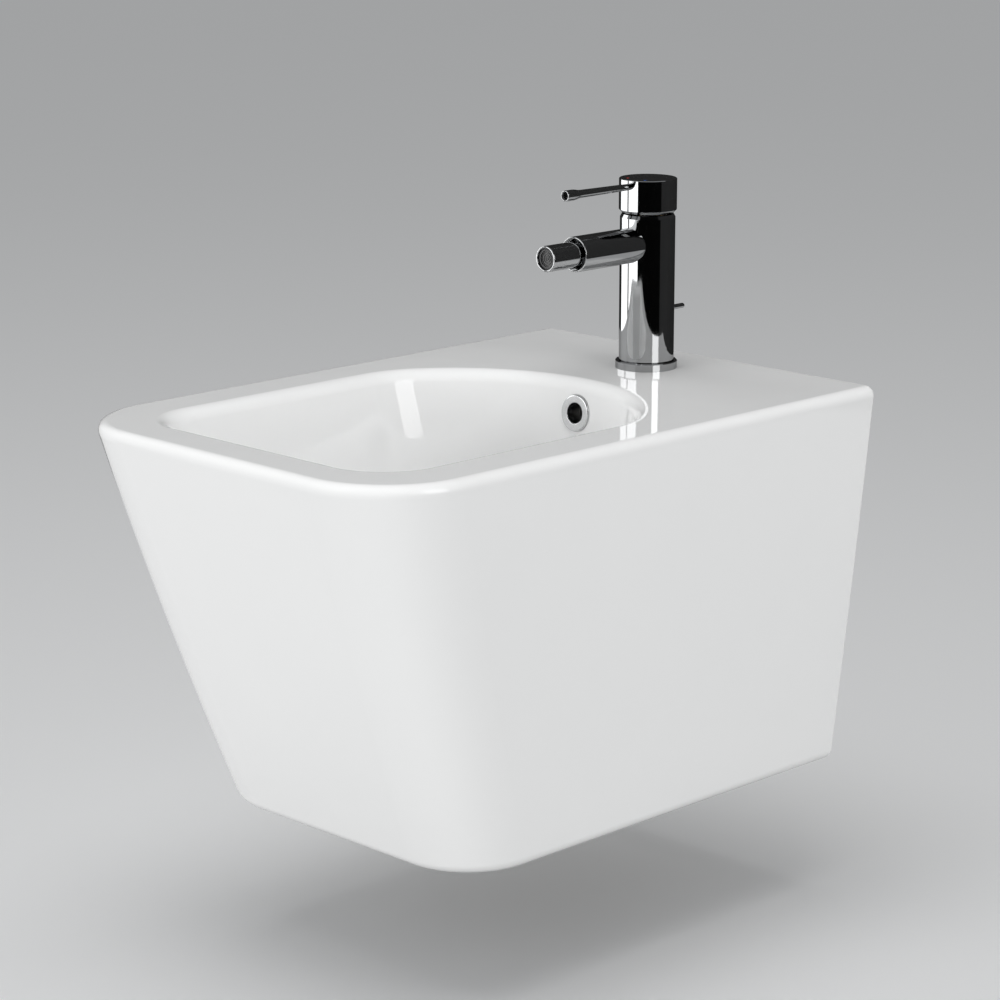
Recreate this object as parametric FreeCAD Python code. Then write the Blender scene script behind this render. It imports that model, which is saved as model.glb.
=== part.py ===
import FreeCAD, Part
import math
import os

# Wall-hung bidet with a single-lever mixer and a pop-up waste. Millimetres, +Z up, front towards -Y.
# The origin lies on the wall, midway between the two fixing holes.

# Ceramic shell
WIDTH = 360.0
PROJECTION = 525.0
HEIGHT = 314.0
RIM_Z = 100.0
SIDE_TAPER = 34.5
FRONT_TAPER = 113.0
SIDE_BOW = 0.076
FRONT_BOW = 0.129
RIM_CORNER = 77.0
FOOT_CORNER = 61.0
RIM_ROUND = 7.5
FOOT_ROUND = 12.0
BACK_ROUND = 3.0
WALL = 10.0
DECK = 12.0

# Bowl
BOWL_WIDTH = 260.0
BOWL_FROM_WALL = 147.0
FRONT_RIM = 47.0
BOWL_DEPTH = 130.0
BOWL_SIDE_DRAW = 34.0
BOWL_FRONT_DRAW = 38.0
BOWL_REAR_DRAW = 15.0
BOWL_FRONT_CORNER = 42.0
BOWL_FLOOR_CORNER = 56.0
BOWL_REAR_CORNER = 70.0
BOWL_REAR_TURN = 33.6
MOUTH_ROUND = 12.0
FLOOR_ROUND = 36.0
DISH_R = 72.0
DISH_DEPTH = 4.0

# Wall fixings and the service opening underneath
FIXING_SPACING = 180.0
FIXING_HOLE_R = 9.0
LUG_WIDTH = 56.0
LUG_HEIGHT = 48.0
LUG_DEPTH = 20.0
BUSH_BORE_R = 6.5
BUSH_COLLAR_R = 13.0
BUSH_COLLAR_T = 3.0
SERVICE_WIDTH = 190.0
SERVICE_LENGTH = 276.0
SERVICE_FROM_WALL = 24.0
SERVICE_CORNER = 25.0

# Overflow
OVERFLOW_DROP = 26.0
OVERFLOW_RING_R = 14.6
OVERFLOW_BORE_R = 8.2
OVERFLOW_TUBE_WALL = 1.6
OVERFLOW_TUBE_LENGTH = 12.0
OVERFLOW_PROUD = 2.2
OVERFLOW_BEVEL = 1.3
OVERFLOW_SEAT_DEPTH = 1.0
DUCT_WIDTH = 26.0
DUCT_DEPTH = 14.0
DUCT_WALL = 8.0

# Mixer body
TAP_FROM_WALL = 69.2
TAP_HOLE_R = 17.5
TAP_HEIGHT = 152.6
TAP_BODY_R = 22.1
TAP_FOOT_CHAMFER = 0.8
TAP_TOP_CHAMFER_W = 1.4
TAP_TOP_CHAMFER_H = 2.6
BASE_RING_R = 24.8
BASE_RING_H = 6.4
BASE_RING_CHAMFER = 0.8
BASE_SEAL_R = 22.4
BASE_SEAL_WIDTH = 3.8
BASE_SEAL_H = 2.0
SPIGOT_R = 16.3
SPIGOT_LENGTH = 4.0
INLET_X = 7.5
INLET_Y = 1.0
INLET_R = 4.5
INLET_DEPTH = 14.0
PORT_R = 3.2

# Mixer fastening under the deck
STUD_R = 4.0
STUD_Y = -10.0
STUD_GRIP = 12.0
STUD_LENGTH = 46.0
SHOE_R = 27.0
SHOE_SLOT = 28.0
SHOE_SLOT_END = -5.0
SHOE_GASKET_T = 3.0
SHOE_PLATE_T = 3.0
STUD_NUT_FLATS = 13.0
STUD_NUT_H = 10.0

# Cartridge
CHAMBER_DEPTH = 38.3
CARTRIDGE_R = 17.5
CARTRIDGE_WALL = 2.6
CARTRIDGE_BASE = 3.0
CARTRIDGE_DROP = 7.3
CARTRIDGE_LID = 2.5
CARTRIDGE_NUT_H = 6.0
CARTRIDGE_NUT_BORE = 12.0
NUT_NOTCH = 4.0
INLET_SEAL_R = 5.2
INLET_SEAL_H = 1.5
O_RING_DROP = 8.0
O_RING_H = 2.0
O_RING_DEPTH = 1.4
DISC_T = 3.5
CARRIER_T = 4.0
MOVING_DISC_R = 11.0
MIX_POCKET_R = 7.5
MIX_POCKET_DEPTH = 1.5
NECK_R = 9.8
NECK_RISE = 1.0
TURRET_R = 13.5
PIVOT_DROP = 18.0
PIN_R = 2.0
STEM_WIDTH = 8.0
STEM_BELOW_PIN = 4.0
STEM_TIP_R = 2.2
STEM_TIP_ROD_R = 1.6
OUTLET_R = 5.0
MAX_TILT = 18.0

# Handle
CAP_R = 23.1
CAP_DEPTH = 27.1
CAP_CHAMFER = 2.4
CAP_EDGE = 0.5
CAP_WALL = 3.0
CAP_TOP = 9.0
SEAM_GAP = 1.2
HUB_R = 8.0
HUB_LENGTH = 12.5
STEM_IN_TOP = 3.4
LEVER_DROP = 5.3
LEVER_REACH = 95.2
LEVER_ROOT_R = 2.6
LEVER_NECK_R = 3.2
LEVER_TIP_R = 4.3
LEVER_GRIP = 7.5
LEVER_FLARE = 10.5
LEVER_FLARE_ROUND = 40.0
LEVER_SPIGOT_R = 2.3
LEVER_EDGE = 0.5
LEVER_RECESS_R = 3.4
LEVER_RECESS_DEPTH = 0.8
MARK_R = 1.15
MARK_SIDE = 9.3
MARK_FRONT = 13.8
MARK_DEPTH = 0.6

# Spout and swivelling nozzle
SPOUT_DROP = 52.0
SPOUT_R = 13.95
SPOUT_BORE_R = 11.0
SPOUT_MOUTH_R = 12.6
SPOUT_REACH = 85.0
SPOUT_EDGE = 0.6
BALL_R = 11.5
BALL_INSET = 7.0
BALL_REAR = 8.5
SEAT_LENGTH = 11.2
SEAT_GAP = 2.5
COLLAR_BACK = 1.5
COLLAR_FRONT = 4.0
NOZZLE_R = 10.2
NOZZLE_REACH = 116.6
NOZZLE_BORE_R = 6.6
NOZZLE_EDGE = 0.9
NOZZLE_TILT = 12.0
NOZZLE_SEAL_LENGTH = 2.0
NOZZLE_SEAL_DEPTH = 1.2
AERATOR_R = 8.6
AERATOR_POCKET = 13.0
AERATOR_RECESS = 1.4
AERATOR_BORE_R = 6.2
AERATOR_LIP = 1.0
AERATOR_GASKET_T = 1.2
SCREEN_T = 1.6
SCREEN_RING_GAP = 0.9
SCREEN_RING_DEPTH = 0.5

# Pop-up waste
WASTE_FROM_WALL = 245.0
WASTE_HOLE_R = 23.0
WASTE_BOSS_R = 37.0
WASTE_BOSS_DEPTH = 36.0
FLANGE_R = 31.5
FLANGE_T = 2.0
FLANGE_SEAT = 2.5
FUNNEL_R = 27.0
FUNNEL_DEPTH = 8.0
WASTE_SEAL_T = 1.5
WASTE_SEAL_R = 30.0
WASTE_TUBE_R = 20.9
WASTE_BORE_R = 18.2
WASTE_GASKET_R = 33.0
WASTE_GASKET_T = 5.0
WASTE_NUT_FLATS = 56.0
WASTE_NUT_H = 9.0
WASTE_TUBE_BELOW_NUT = 12.0
WASTE_BODY_R = 25.0
WASTE_BODY_BELOW_TUBE = 32.0
WASTE_BODY_CONE = 9.0
TAIL_R = 16.0
TAIL_WALL = 2.2
TAIL_LENGTH = 32.0
PLUG_R = 23.2
PLUG_T = 3.2
PLUG_CROWN = 1.6
PLUG_SINK = 2.6
PLUG_SEAL_R = 21.2
PLUG_SEAL_T = 2.0
PLUG_STEM_R = 4.0
PLUG_FIN_T = 2.4
PLUG_FIN_LENGTH = 16.0
EYE_R = 7.0
EYE_BORE_R = 3.5
EYE_T = 6.0

# Linkage of the waste
LIFT_Y = 13.0
LIFT_ROD_R = 2.5
LIFT_TRAVEL = 32.0
KNOB_REACH = 44.4
KNOB_R = 2.05
KNOB_SPIGOT_R = 1.2
LIFT_ROD_ABOVE_KNOB = 3.0
BORE_HEADROOM = 2.0
BORE_ROOF = 4.4
PIVOT_ARM = 30.0
PIVOT_BELOW_TUBE = 14.0
PIVOT_ROD_R = 2.5
PIVOT_BALL_R = 5.5
PIVOT_ROD_INNER = 5.0
PIVOT_ROD_OUTER = 14.0
PORT_TUBE_R = 10.0
PORT_TUBE_PAST_BALL = 8.0
PORT_HOLE_R = 4.2
PIVOT_SEAT_T = 5.0
PIVOT_NUT_R = 12.5
PIVOT_NUT_END = 3.0
PIVOT_NUT_LAP = 7.0
COUPLING_WIDTH = 12.0
COUPLING_THICK = 10.0
COUPLING_BELOW = 7.0
COUPLING_ABOVE = 20.0
COUPLING_GRIP = 13.0
COUPLING_BORE_R = 3.5
SCREW_R = 2.0
SCREW_HEAD_R = 4.0
SCREW_HEAD_T = 4.0

# Clearances
LOOSE = 0.3
THREAD = 0.05
RUNNING = 0.08
LAPPED = 0.05
PAST = 1.0

V = FreeCAD.Vector
UP = V(0, 0, 1)
FRONT = V(0, -1, 0)
REAR = V(0, 1, 0)
RIGHT = V(1, 0, 0)
ORIGIN = V(0, 0, 0)
TURN = 360.0


def cylinder(radius, length, base, axis=UP):
    return Part.makeCylinder(radius, length, base, axis)


def ring(outer, inner, length, base, axis=UP):
    start = base - axis * PAST
    return cylinder(outer, length, base, axis).cut(cylinder(inner, length + 2 * PAST, start, axis))


def box(low, high):
    size = high - low
    return Part.makeBox(size.x, size.y, size.z, low)


def turned(outline, base, axis=UP):
    """Solid of revolution through (radius, distance along the axis) corners."""
    corners = [V(radius, 0, along) for radius, along in outline]
    face = Part.Face(Part.makePolygon(corners + corners[:1]))
    solid = face.revolve(ORIGIN, UP, TURN)
    solid.Placement = FreeCAD.Placement(base, FreeCAD.Rotation(UP, axis))
    return solid


def hexagon(flats, length, base):
    radius = flats / math.sqrt(3)
    corners = [V(radius, 0, 0)]
    for step in range(1, 6):
        angle = step * math.pi / 3
        corners.append(V(radius * math.cos(angle), radius * math.sin(angle), 0))
    prism = Part.Face(Part.makePolygon(corners + corners[:1])).extrude(UP * length)
    prism.translate(base)
    return prism


def line(start, end):
    return Part.LineSegment(start, end).toShape()


def arc(start, middle, end):
    return Part.Arc(start, middle, end).toShape()


def quarter(centre, radius, side):
    """Point at 45 degrees on a front corner arc, on the given side of the symmetry plane."""
    reach = radius * math.sqrt(0.5)
    return V(centre.x + side * reach, centre.y - reach, centre.z)


def rounded(solid, radius, wanted):
    """Rounds each edge whose bounding box passes the wanted test."""
    edges = [edge for edge in solid.Edges if wanted(edge.BoundBox)]
    return solid.makeFillet(radius, edges)


def level(bounds, z):
    return abs(bounds.ZMin - z) < LAPPED and abs(bounds.ZMax - z) < LAPPED


def upright(bounds, y):
    return abs(bounds.YMin - y) < LAPPED and abs(bounds.YMax - y) < LAPPED


def on_wall(bounds):
    return upright(bounds, 0)


def tap(height, y=0.0, x=0.0):
    """Point at a height above the deck, off the mixer's axis by x and y."""
    return V(x, y - TAP_FROM_WALL, RIM_Z + height)


# Ceramic body


def shell_outline(z, inset, back):
    """Plan of the shell at a height, drawn in by an inset, from the wall round the front corners."""
    down = (RIM_Z - z) / HEIGHT
    half = WIDTH / 2 - SIDE_TAPER * ((1 - SIDE_BOW) * down + SIDE_BOW * down**2) - inset
    front = FRONT_TAPER * ((1 - FRONT_BOW) * down + FRONT_BOW * down**2) + inset - PROJECTION
    corner = RIM_CORNER + (FOOT_CORNER - RIM_CORNER) * down - inset
    right = V(half - corner, front + corner, z)
    left = V(corner - half, front + corner, z)
    return Part.Wire(
        [
            line(V(half, back, z), V(half, right.y, z)),
            arc(V(half, right.y, z), quarter(right, corner, 1), V(right.x, front, z)),
            line(V(right.x, front, z), V(left.x, front, z)),
            arc(V(left.x, front, z), quarter(left, corner, -1), V(-half, left.y, z)),
            line(V(-half, left.y, z), V(-half, back, z)),
            line(V(-half, back, z), V(half, back, z)),
        ]
    )


def shell_solid(top, bottom, inset):
    """Loft of the shell that runs past the wall at its open back."""
    middle = (top + bottom) / 2
    outlines = [shell_outline(z, inset, PAST) for z in (top, middle, bottom)]
    return Part.makeLoft(outlines, True, False)


def bowl_outline(z, grow):
    """Plan of the bowl at a height: straight front and sides, rounded corners and an arched rear."""
    down = (RIM_Z - z) / BOWL_DEPTH
    half = BOWL_WIDTH / 2 - BOWL_SIDE_DRAW * down + grow
    front = FRONT_RIM + BOWL_FRONT_DRAW * down - grow - PROJECTION
    rear = grow - BOWL_FROM_WALL - BOWL_REAR_DRAW * down
    corner = BOWL_FRONT_CORNER + (BOWL_FLOOR_CORNER - BOWL_FRONT_CORNER) * down + grow
    rear_corner = BOWL_REAR_CORNER + grow
    turn = math.radians(BOWL_REAR_TURN)
    across = half - rear_corner
    along = across * math.tan(turn)
    arch = rear_corner + across / math.cos(turn)
    arch_y = rear - arch
    meet_x = arch * math.cos(turn)
    meet_y = arch_y + arch * math.sin(turn)
    rear_y = arch_y + along
    mid_x = across + rear_corner * math.cos(turn / 2)
    mid_y = rear_y + rear_corner * math.sin(turn / 2)
    right = V(half - corner, front + corner, z)
    left = V(corner - half, front + corner, z)
    return Part.Wire(
        [
            line(V(left.x, front, z), V(right.x, front, z)),
            arc(V(right.x, front, z), quarter(right, corner, 1), V(half, right.y, z)),
            line(V(half, right.y, z), V(half, rear_y, z)),
            arc(V(half, rear_y, z), V(mid_x, mid_y, z), V(meet_x, meet_y, z)),
            arc(V(meet_x, meet_y, z), V(0, rear, z), V(-meet_x, meet_y, z)),
            arc(V(-meet_x, meet_y, z), V(-mid_x, mid_y, z), V(-half, rear_y, z)),
            line(V(-half, rear_y, z), V(-half, left.y, z)),
            arc(V(-half, left.y, z), quarter(left, corner, -1), V(left.x, front, z)),
        ]
    )


def bowl_solid(floor, grow):
    solid = Part.makeLoft([bowl_outline(RIM_Z + PAST, grow), bowl_outline(floor, grow)], True, True)
    return rounded(solid, FLOOR_ROUND + grow, lambda bounds: level(bounds, floor))


FOOT_Z = RIM_Z - HEIGHT
SKIRT_Z = FOOT_Z + WALL
DECK_UNDER = RIM_Z - DECK
FLOOR_Z = RIM_Z - BOWL_DEPTH
DISH_Z = FLOOR_Z - DISH_DEPTH
SEAT_Z = DISH_Z - FLANGE_SEAT
BOSS_Z = FLOOR_Z - WASTE_BOSS_DEPTH
OVERFLOW_Z = RIM_Z - OVERFLOW_DROP
OVERFLOW_LEAN = math.atan2(BOWL_REAR_DRAW, BOWL_DEPTH)
OVERFLOW_AXIS = V(0, -math.cos(OVERFLOW_LEAN), math.sin(OVERFLOW_LEAN))
OVERFLOW_WALL_Y = -BOWL_FROM_WALL - BOWL_REAR_DRAW * OVERFLOW_DROP / BOWL_DEPTH
OVERFLOW_SEAT = V(0, OVERFLOW_WALL_Y, OVERFLOW_Z) - OVERFLOW_AXIS * OVERFLOW_SEAT_DEPTH
OVERFLOW_TUBE_R = OVERFLOW_BORE_R + OVERFLOW_TUBE_WALL
DUCT_FRONT = WALL - BOWL_FROM_WALL
DUCT_REAR = DUCT_FRONT + DUCT_DEPTH
DUCT_TOP = OVERFLOW_Z + OVERFLOW_RING_R
WASTE_Y = -WASTE_FROM_WALL


def duct(grow, top):
    """Overflow way down behind the bowl and forward to the waste hole, grown by its wall."""
    half = DUCT_WIDTH / 2 + grow
    low = BOSS_Z + DUCT_WALL - grow
    rear = DUCT_REAR + grow
    upright = box(V(-half, DUCT_FRONT - grow - BOWL_REAR_DRAW * grow / DUCT_WALL, low), V(half, rear, top))
    run = box(V(-half, WASTE_Y, low), V(half, rear, BOSS_Z + DUCT_WALL + DUCT_DEPTH + grow))
    return upright.fuse(run)


def fixing_lugs():
    lugs = []
    for side in (-1, 1):
        centre = side * FIXING_SPACING / 2
        outer = side * WIDTH / 2
        inner = centre - side * LUG_WIDTH / 2
        low = V(min(inner, outer), -LUG_DEPTH, -LUG_HEIGHT / 2)
        high = V(max(inner, outer), 0, LUG_HEIGHT / 2)
        lugs.append(box(low, high))
    return lugs


def service_opening():
    half = SERVICE_WIDTH / 2
    low = V(-half, -SERVICE_FROM_WALL - SERVICE_LENGTH, FOOT_Z - PAST)
    high = V(half, -SERVICE_FROM_WALL, SKIRT_Z + PAST)
    block = box(low, high)
    return rounded(block, SERVICE_CORNER, lambda bounds: bounds.ZLength > WALL)


def is_mouth(bounds):
    """True for a sharp edge of the bowl's mouth, inside the rounded edge of the rim."""
    across = max(bounds.XMax, -bounds.XMin) < BOWL_WIDTH / 2 + PAST
    along = bounds.YMin > FRONT_RIM - PROJECTION - PAST and bounds.YMax < PAST - BOWL_FROM_WALL
    return level(bounds, RIM_Z) and across and along


def slab(low, high):
    """Block between two heights that takes in the whole shell."""
    return box(V(-WIDTH, -2 * PROJECTION, low), V(WIDTH, 0, high))


def casting():
    """The whole china body, which is cast and fired in one piece."""
    shell = shell_solid(RIM_Z, FOOT_Z, 0).common(slab(FOOT_Z, RIM_Z))
    shell = rounded(shell, RIM_ROUND, lambda bounds: level(bounds, RIM_Z) and not on_wall(bounds))
    shell = rounded(shell, FOOT_ROUND, lambda bounds: level(bounds, FOOT_Z) and not on_wall(bounds))
    shell = rounded(shell, BACK_ROUND, on_wall)
    shell = shell.cut(bowl_solid(FLOOR_Z, 0))
    shell = rounded(shell, MOUTH_ROUND, is_mouth)
    boss = cylinder(WASTE_BOSS_R, WASTE_BOSS_DEPTH, V(0, WASTE_Y, BOSS_Z))
    hollow = shell_solid(DECK_UNDER, SKIRT_Z, WALL)
    hollow = hollow.cut(bowl_solid(FLOOR_Z - WALL, WALL))
    hollow = hollow.cut([boss, duct(DUCT_WALL, RIM_Z)] + fixing_lugs())
    shell = shell.cut(hollow)
    cuts = [duct(0, DUCT_TOP), service_opening()]
    cuts.append(cylinder(TAP_HOLE_R, DECK + 2 * PAST, tap(-DECK - PAST)))
    cuts.append(cylinder(WASTE_HOLE_R, BOWL_DEPTH, V(0, WASTE_Y, BOSS_Z - PAST)))
    cuts.append(cylinder(FLANGE_R + LOOSE, BOWL_DEPTH, V(0, WASTE_Y, SEAT_Z)))
    sink_z = SEAT_Z - FUNNEL_DEPTH
    cuts.append(Part.makeCone(WASTE_HOLE_R, FUNNEL_R + LOOSE, FUNNEL_DEPTH, V(0, WASTE_Y, sink_z)))
    cuts.append(Part.makeCone(FLANGE_R + LOOSE, DISH_R, DISH_DEPTH, V(0, WASTE_Y, DISH_Z)))
    seat_reach = OVERFLOW_SEAT_DEPTH + OVERFLOW_PROUD
    cuts.append(cylinder(OVERFLOW_RING_R + LOOSE, seat_reach, OVERFLOW_SEAT, OVERFLOW_AXIS))
    tube_reach = OVERFLOW_TUBE_LENGTH + PAST
    tube_back = OVERFLOW_SEAT - OVERFLOW_AXIS * tube_reach
    cuts.append(cylinder(OVERFLOW_TUBE_R + LOOSE, tube_reach + PAST, tube_back, OVERFLOW_AXIS))
    for side in (-1, 1):
        start = V(side * FIXING_SPACING / 2, -LUG_DEPTH - PAST, 0)
        cuts.append(cylinder(FIXING_HOLE_R, LUG_DEPTH + 2 * PAST, start, REAR))
    return shell.cut(cuts)


CASTING = casting()
BELOW_DECK = CASTING.common(slab(SKIRT_Z, DECK_UNDER)).Solids
BOWL, SKIRT = sorted(BELOW_DECK, key=lambda solid: solid.BoundBox.XLength)
BASIN_Z = FLOOR_Z + FLOOR_ROUND
SIDES_FRONT = FRONT_RIM + BOWL_FRONT_DRAW + BOWL_FLOOR_CORNER - PROJECTION


def ceramic_deck():
    """Top of the casting: rim, tap deck and the mouth of the bowl."""
    return CASTING.common(slab(DECK_UNDER, RIM_Z))


def bowl_wall(left, right, front, rear):
    """The bowl's wall above the basin, within the given sides in plan."""
    return BOWL.common(box(V(left, front, BASIN_Z), V(right, rear, DECK_UNDER)))


def ceramic_bowl_front():
    """Front wall of the bowl with its two round corners."""
    return bowl_wall(-WIDTH, WIDTH, -PROJECTION, SIDES_FRONT)


def ceramic_bowl_left():
    """Flat side wall of the bowl."""
    return bowl_wall(-WIDTH, 0, SIDES_FRONT, WASTE_Y)


def ceramic_bowl_right():
    """Flat side wall of the bowl."""
    return bowl_wall(0, WIDTH, SIDES_FRONT, WASTE_Y)


def ceramic_bowl_rear():
    """Arched rear wall of the bowl with the overflow hole and the upright of its duct."""
    return bowl_wall(-WIDTH, WIDTH, WASTE_Y, 0)


def ceramic_basin():
    """Floor of the bowl with its round foot, the waste boss and the run of the overflow duct."""
    return BOWL.common(slab(SKIRT_Z, BASIN_Z))


def ceramic_skirt():
    """Sides and front of the casting with the two fixing lugs."""
    return SKIRT


def ceramic_foot():
    """Underside of the casting round the service opening."""
    return CASTING.common(slab(FOOT_Z, SKIRT_Z))


def overflow_ring():
    """Rosette with a bevelled face and a tube that plugs into the ceramic."""
    face = OVERFLOW_SEAT_DEPTH + OVERFLOW_PROUD
    outline = [
        (OVERFLOW_BORE_R, -OVERFLOW_TUBE_LENGTH),
        (OVERFLOW_TUBE_R, -OVERFLOW_TUBE_LENGTH),
        (OVERFLOW_TUBE_R, 0),
        (OVERFLOW_RING_R, 0),
        (OVERFLOW_RING_R, face - OVERFLOW_BEVEL),
        (OVERFLOW_RING_R - OVERFLOW_BEVEL, face),
        (OVERFLOW_BORE_R + OVERFLOW_BEVEL / 2, face),
        (OVERFLOW_BORE_R, face - OVERFLOW_BEVEL / 2),
    ]
    return turned(outline, OVERFLOW_SEAT, OVERFLOW_AXIS)


def fixing_bushes():
    bushes = []
    for side in (-1, 1):
        outline = [
            (BUSH_BORE_R, 0),
            (FIXING_HOLE_R - THREAD, 0),
            (FIXING_HOLE_R - THREAD, LUG_DEPTH),
            (BUSH_COLLAR_R, LUG_DEPTH),
            (BUSH_COLLAR_R, LUG_DEPTH + BUSH_COLLAR_T),
            (BUSH_BORE_R, LUG_DEPTH + BUSH_COLLAR_T),
        ]
        bushes.append(turned(outline, V(side * FIXING_SPACING / 2, 0, 0), FRONT))
    return Part.makeCompound(bushes)


# Mixer body and its fastening


SPIGOT_Z = BASE_RING_H - SPIGOT_LENGTH
CAP_Z = TAP_HEIGHT - CAP_DEPTH
TAP_TOP = CAP_Z - SEAM_GAP
SPOUT_Z = TAP_HEIGHT - SPOUT_DROP
CHAMBER_FLOOR = TAP_TOP - CHAMBER_DEPTH
CHAMBER_R = CARTRIDGE_R + THREAD
LEVER_Z = TAP_HEIGHT - LEVER_DROP
PIVOT_Z = CAP_Z - PIVOT_DROP
KNOB_SLOT = KNOB_R + LOOSE
LIFT_BORE_R = LIFT_ROD_R + RUNNING
LIFT_BORE_TOP = CHAMBER_FLOOR - BORE_ROOF
KNOB_Z = LIFT_BORE_TOP - BORE_HEADROOM - LIFT_ROD_ABOVE_KNOB - LIFT_TRAVEL


def base_ring():
    outline = [
        (SPIGOT_R + THREAD, 0),
        (BASE_RING_R, 0),
        (BASE_RING_R, BASE_RING_H - BASE_RING_CHAMFER),
        (BASE_RING_R - BASE_RING_CHAMFER, BASE_RING_H),
        (SPIGOT_R + THREAD, BASE_RING_H),
    ]
    groove = ring(BASE_SEAL_R + THREAD, BASE_SEAL_R - BASE_SEAL_WIDTH - THREAD, BASE_SEAL_H, tap(0))
    return turned(outline, tap(0)).cut(groove)


def base_seal():
    return ring(BASE_SEAL_R, BASE_SEAL_R - BASE_SEAL_WIDTH, BASE_SEAL_H, tap(0))


def knob_slot():
    """Upright slot at the back of the body in which the knob of the waste travels."""
    low = KNOB_Z - KNOB_SLOT
    high = KNOB_Z + LIFT_TRAVEL + KNOB_SLOT
    return box(tap(low, LIFT_Y, -KNOB_SLOT), tap(high, TAP_BODY_R + PAST, KNOB_SLOT))


def tap_body():
    outline = [
        (0, SPIGOT_Z),
        (SPIGOT_R, SPIGOT_Z),
        (SPIGOT_R, BASE_RING_H),
        (TAP_BODY_R - TAP_FOOT_CHAMFER, BASE_RING_H),
        (TAP_BODY_R, BASE_RING_H + TAP_FOOT_CHAMFER),
        (TAP_BODY_R, TAP_TOP - TAP_TOP_CHAMFER_H),
        (TAP_BODY_R - TAP_TOP_CHAMFER_W, TAP_TOP),
        (0, TAP_TOP),
    ]
    cuts = [cylinder(CHAMBER_R, TAP_TOP - CHAMBER_FLOOR + PAST, tap(CHAMBER_FLOOR)), knob_slot()]
    cuts.append(cylinder(LIFT_BORE_R, LIFT_BORE_TOP - SPIGOT_Z + PAST, tap(SPIGOT_Z - PAST, LIFT_Y)))
    cuts.append(cylinder(STUD_R + THREAD, STUD_GRIP + PAST, tap(SPIGOT_Z - PAST, STUD_Y)))
    cuts.append(cylinder(OUTLET_R, TAP_BODY_R + PAST, tap(SPOUT_Z), FRONT))
    for side in (-1, 1):
        mouth = tap(SPIGOT_Z - PAST, INLET_Y, side * INLET_X)
        cuts.append(cylinder(INLET_R, INLET_DEPTH + PAST, mouth))
        cuts.append(cylinder(PORT_R, CHAMBER_FLOOR - SPIGOT_Z + 2 * PAST, mouth))
    return turned(outline, tap(0)).cut(cuts)


def mounting_stud():
    return cylinder(STUD_R, STUD_GRIP + SPIGOT_Z + STUD_LENGTH, tap(-STUD_LENGTH, STUD_Y))


def horseshoe(top, thick):
    """U-shaped plate under the deck, open at the back for the hoses and the lift rod."""
    plate = cylinder(SHOE_R, thick, tap(top - thick))
    slot = box(
        tap(top - thick - PAST, SHOE_SLOT_END, -SHOE_SLOT / 2),
        tap(top + PAST, SHOE_R + PAST, SHOE_SLOT / 2),
    )
    hole = cylinder(STUD_R + LOOSE, thick + 2 * PAST, tap(top - thick - PAST, STUD_Y))
    return plate.cut([slot, hole])


def horseshoe_gasket():
    return horseshoe(-DECK, SHOE_GASKET_T)


def horseshoe_plate():
    return horseshoe(-DECK - SHOE_GASKET_T, SHOE_PLATE_T)


def mounting_nut():
    bottom = -DECK - SHOE_GASKET_T - SHOE_PLATE_T - STUD_NUT_H
    nut = hexagon(STUD_NUT_FLATS, STUD_NUT_H, tap(bottom, STUD_Y))
    return nut.cut(cylinder(STUD_R + THREAD, STUD_NUT_H + 2 * PAST, tap(bottom - PAST, STUD_Y)))


# Cartridge


CARTRIDGE_TOP = TAP_TOP - CARTRIDGE_DROP
O_RING_Z = CARTRIDGE_TOP - O_RING_DROP
CARTRIDGE_BORE_R = CARTRIDGE_R - CARTRIDGE_WALL
FIXED_DISC_Z = CHAMBER_FLOOR + CARTRIDGE_BASE
MOVING_DISC_Z = FIXED_DISC_Z + DISC_T + LAPPED
CARRIER_Z = MOVING_DISC_Z + DISC_T
TURRET_Z = CARRIER_Z + CARRIER_T + LOOSE
LID_Z = CARTRIDGE_TOP - CARTRIDGE_LID
STEM_TIP_Z = CARRIER_Z + STEM_TIP_R + LOOSE
STEM_TOP = TAP_HEIGHT - CAP_TOP + STEM_IN_TOP


def inlet_cuts(radius, start, length):
    return [cylinder(radius, length, tap(start, INLET_Y, side * INLET_X)) for side in (-1, 1)]


def cartridge_housing():
    outline = [
        (0, CHAMBER_FLOOR),
        (CARTRIDGE_R, CHAMBER_FLOOR),
        (CARTRIDGE_R, CARTRIDGE_TOP),
        (NECK_R + RUNNING, CARTRIDGE_TOP),
        (NECK_R + RUNNING, LID_Z),
        (CARTRIDGE_BORE_R, LID_Z),
        (CARTRIDGE_BORE_R, FIXED_DISC_Z),
        (0, FIXED_DISC_Z),
    ]
    cuts = inlet_cuts(PORT_R, CHAMBER_FLOOR - PAST, CARTRIDGE_BASE + 2 * PAST)
    cuts += inlet_cuts(INLET_SEAL_R + THREAD, CHAMBER_FLOOR - PAST, INLET_SEAL_H + PAST)
    cuts.append(ring(CARTRIDGE_R + PAST, CARTRIDGE_R - O_RING_DEPTH, O_RING_H, tap(O_RING_Z)))
    cuts.append(cylinder(OUTLET_R, CARTRIDGE_R + PAST, tap(SPOUT_Z), FRONT))
    return turned(outline, tap(0)).cut(cuts)


def inlet_seals():
    seals = []
    for side in (-1, 1):
        base = tap(CHAMBER_FLOOR, INLET_Y, side * INLET_X)
        seals.append(ring(INLET_SEAL_R, PORT_R, INLET_SEAL_H, base))
    return Part.makeCompound(seals)


def cartridge_o_ring():
    inner = CARTRIDGE_R - O_RING_DEPTH + THREAD
    return ring(CARTRIDGE_R + THREAD / 2, inner, O_RING_H - THREAD, tap(O_RING_Z))


def fixed_disc():
    disc = cylinder(CARTRIDGE_BORE_R - THREAD, DISC_T, tap(FIXED_DISC_Z))
    return disc.cut(inlet_cuts(PORT_R, FIXED_DISC_Z - PAST, DISC_T + 2 * PAST))


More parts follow.
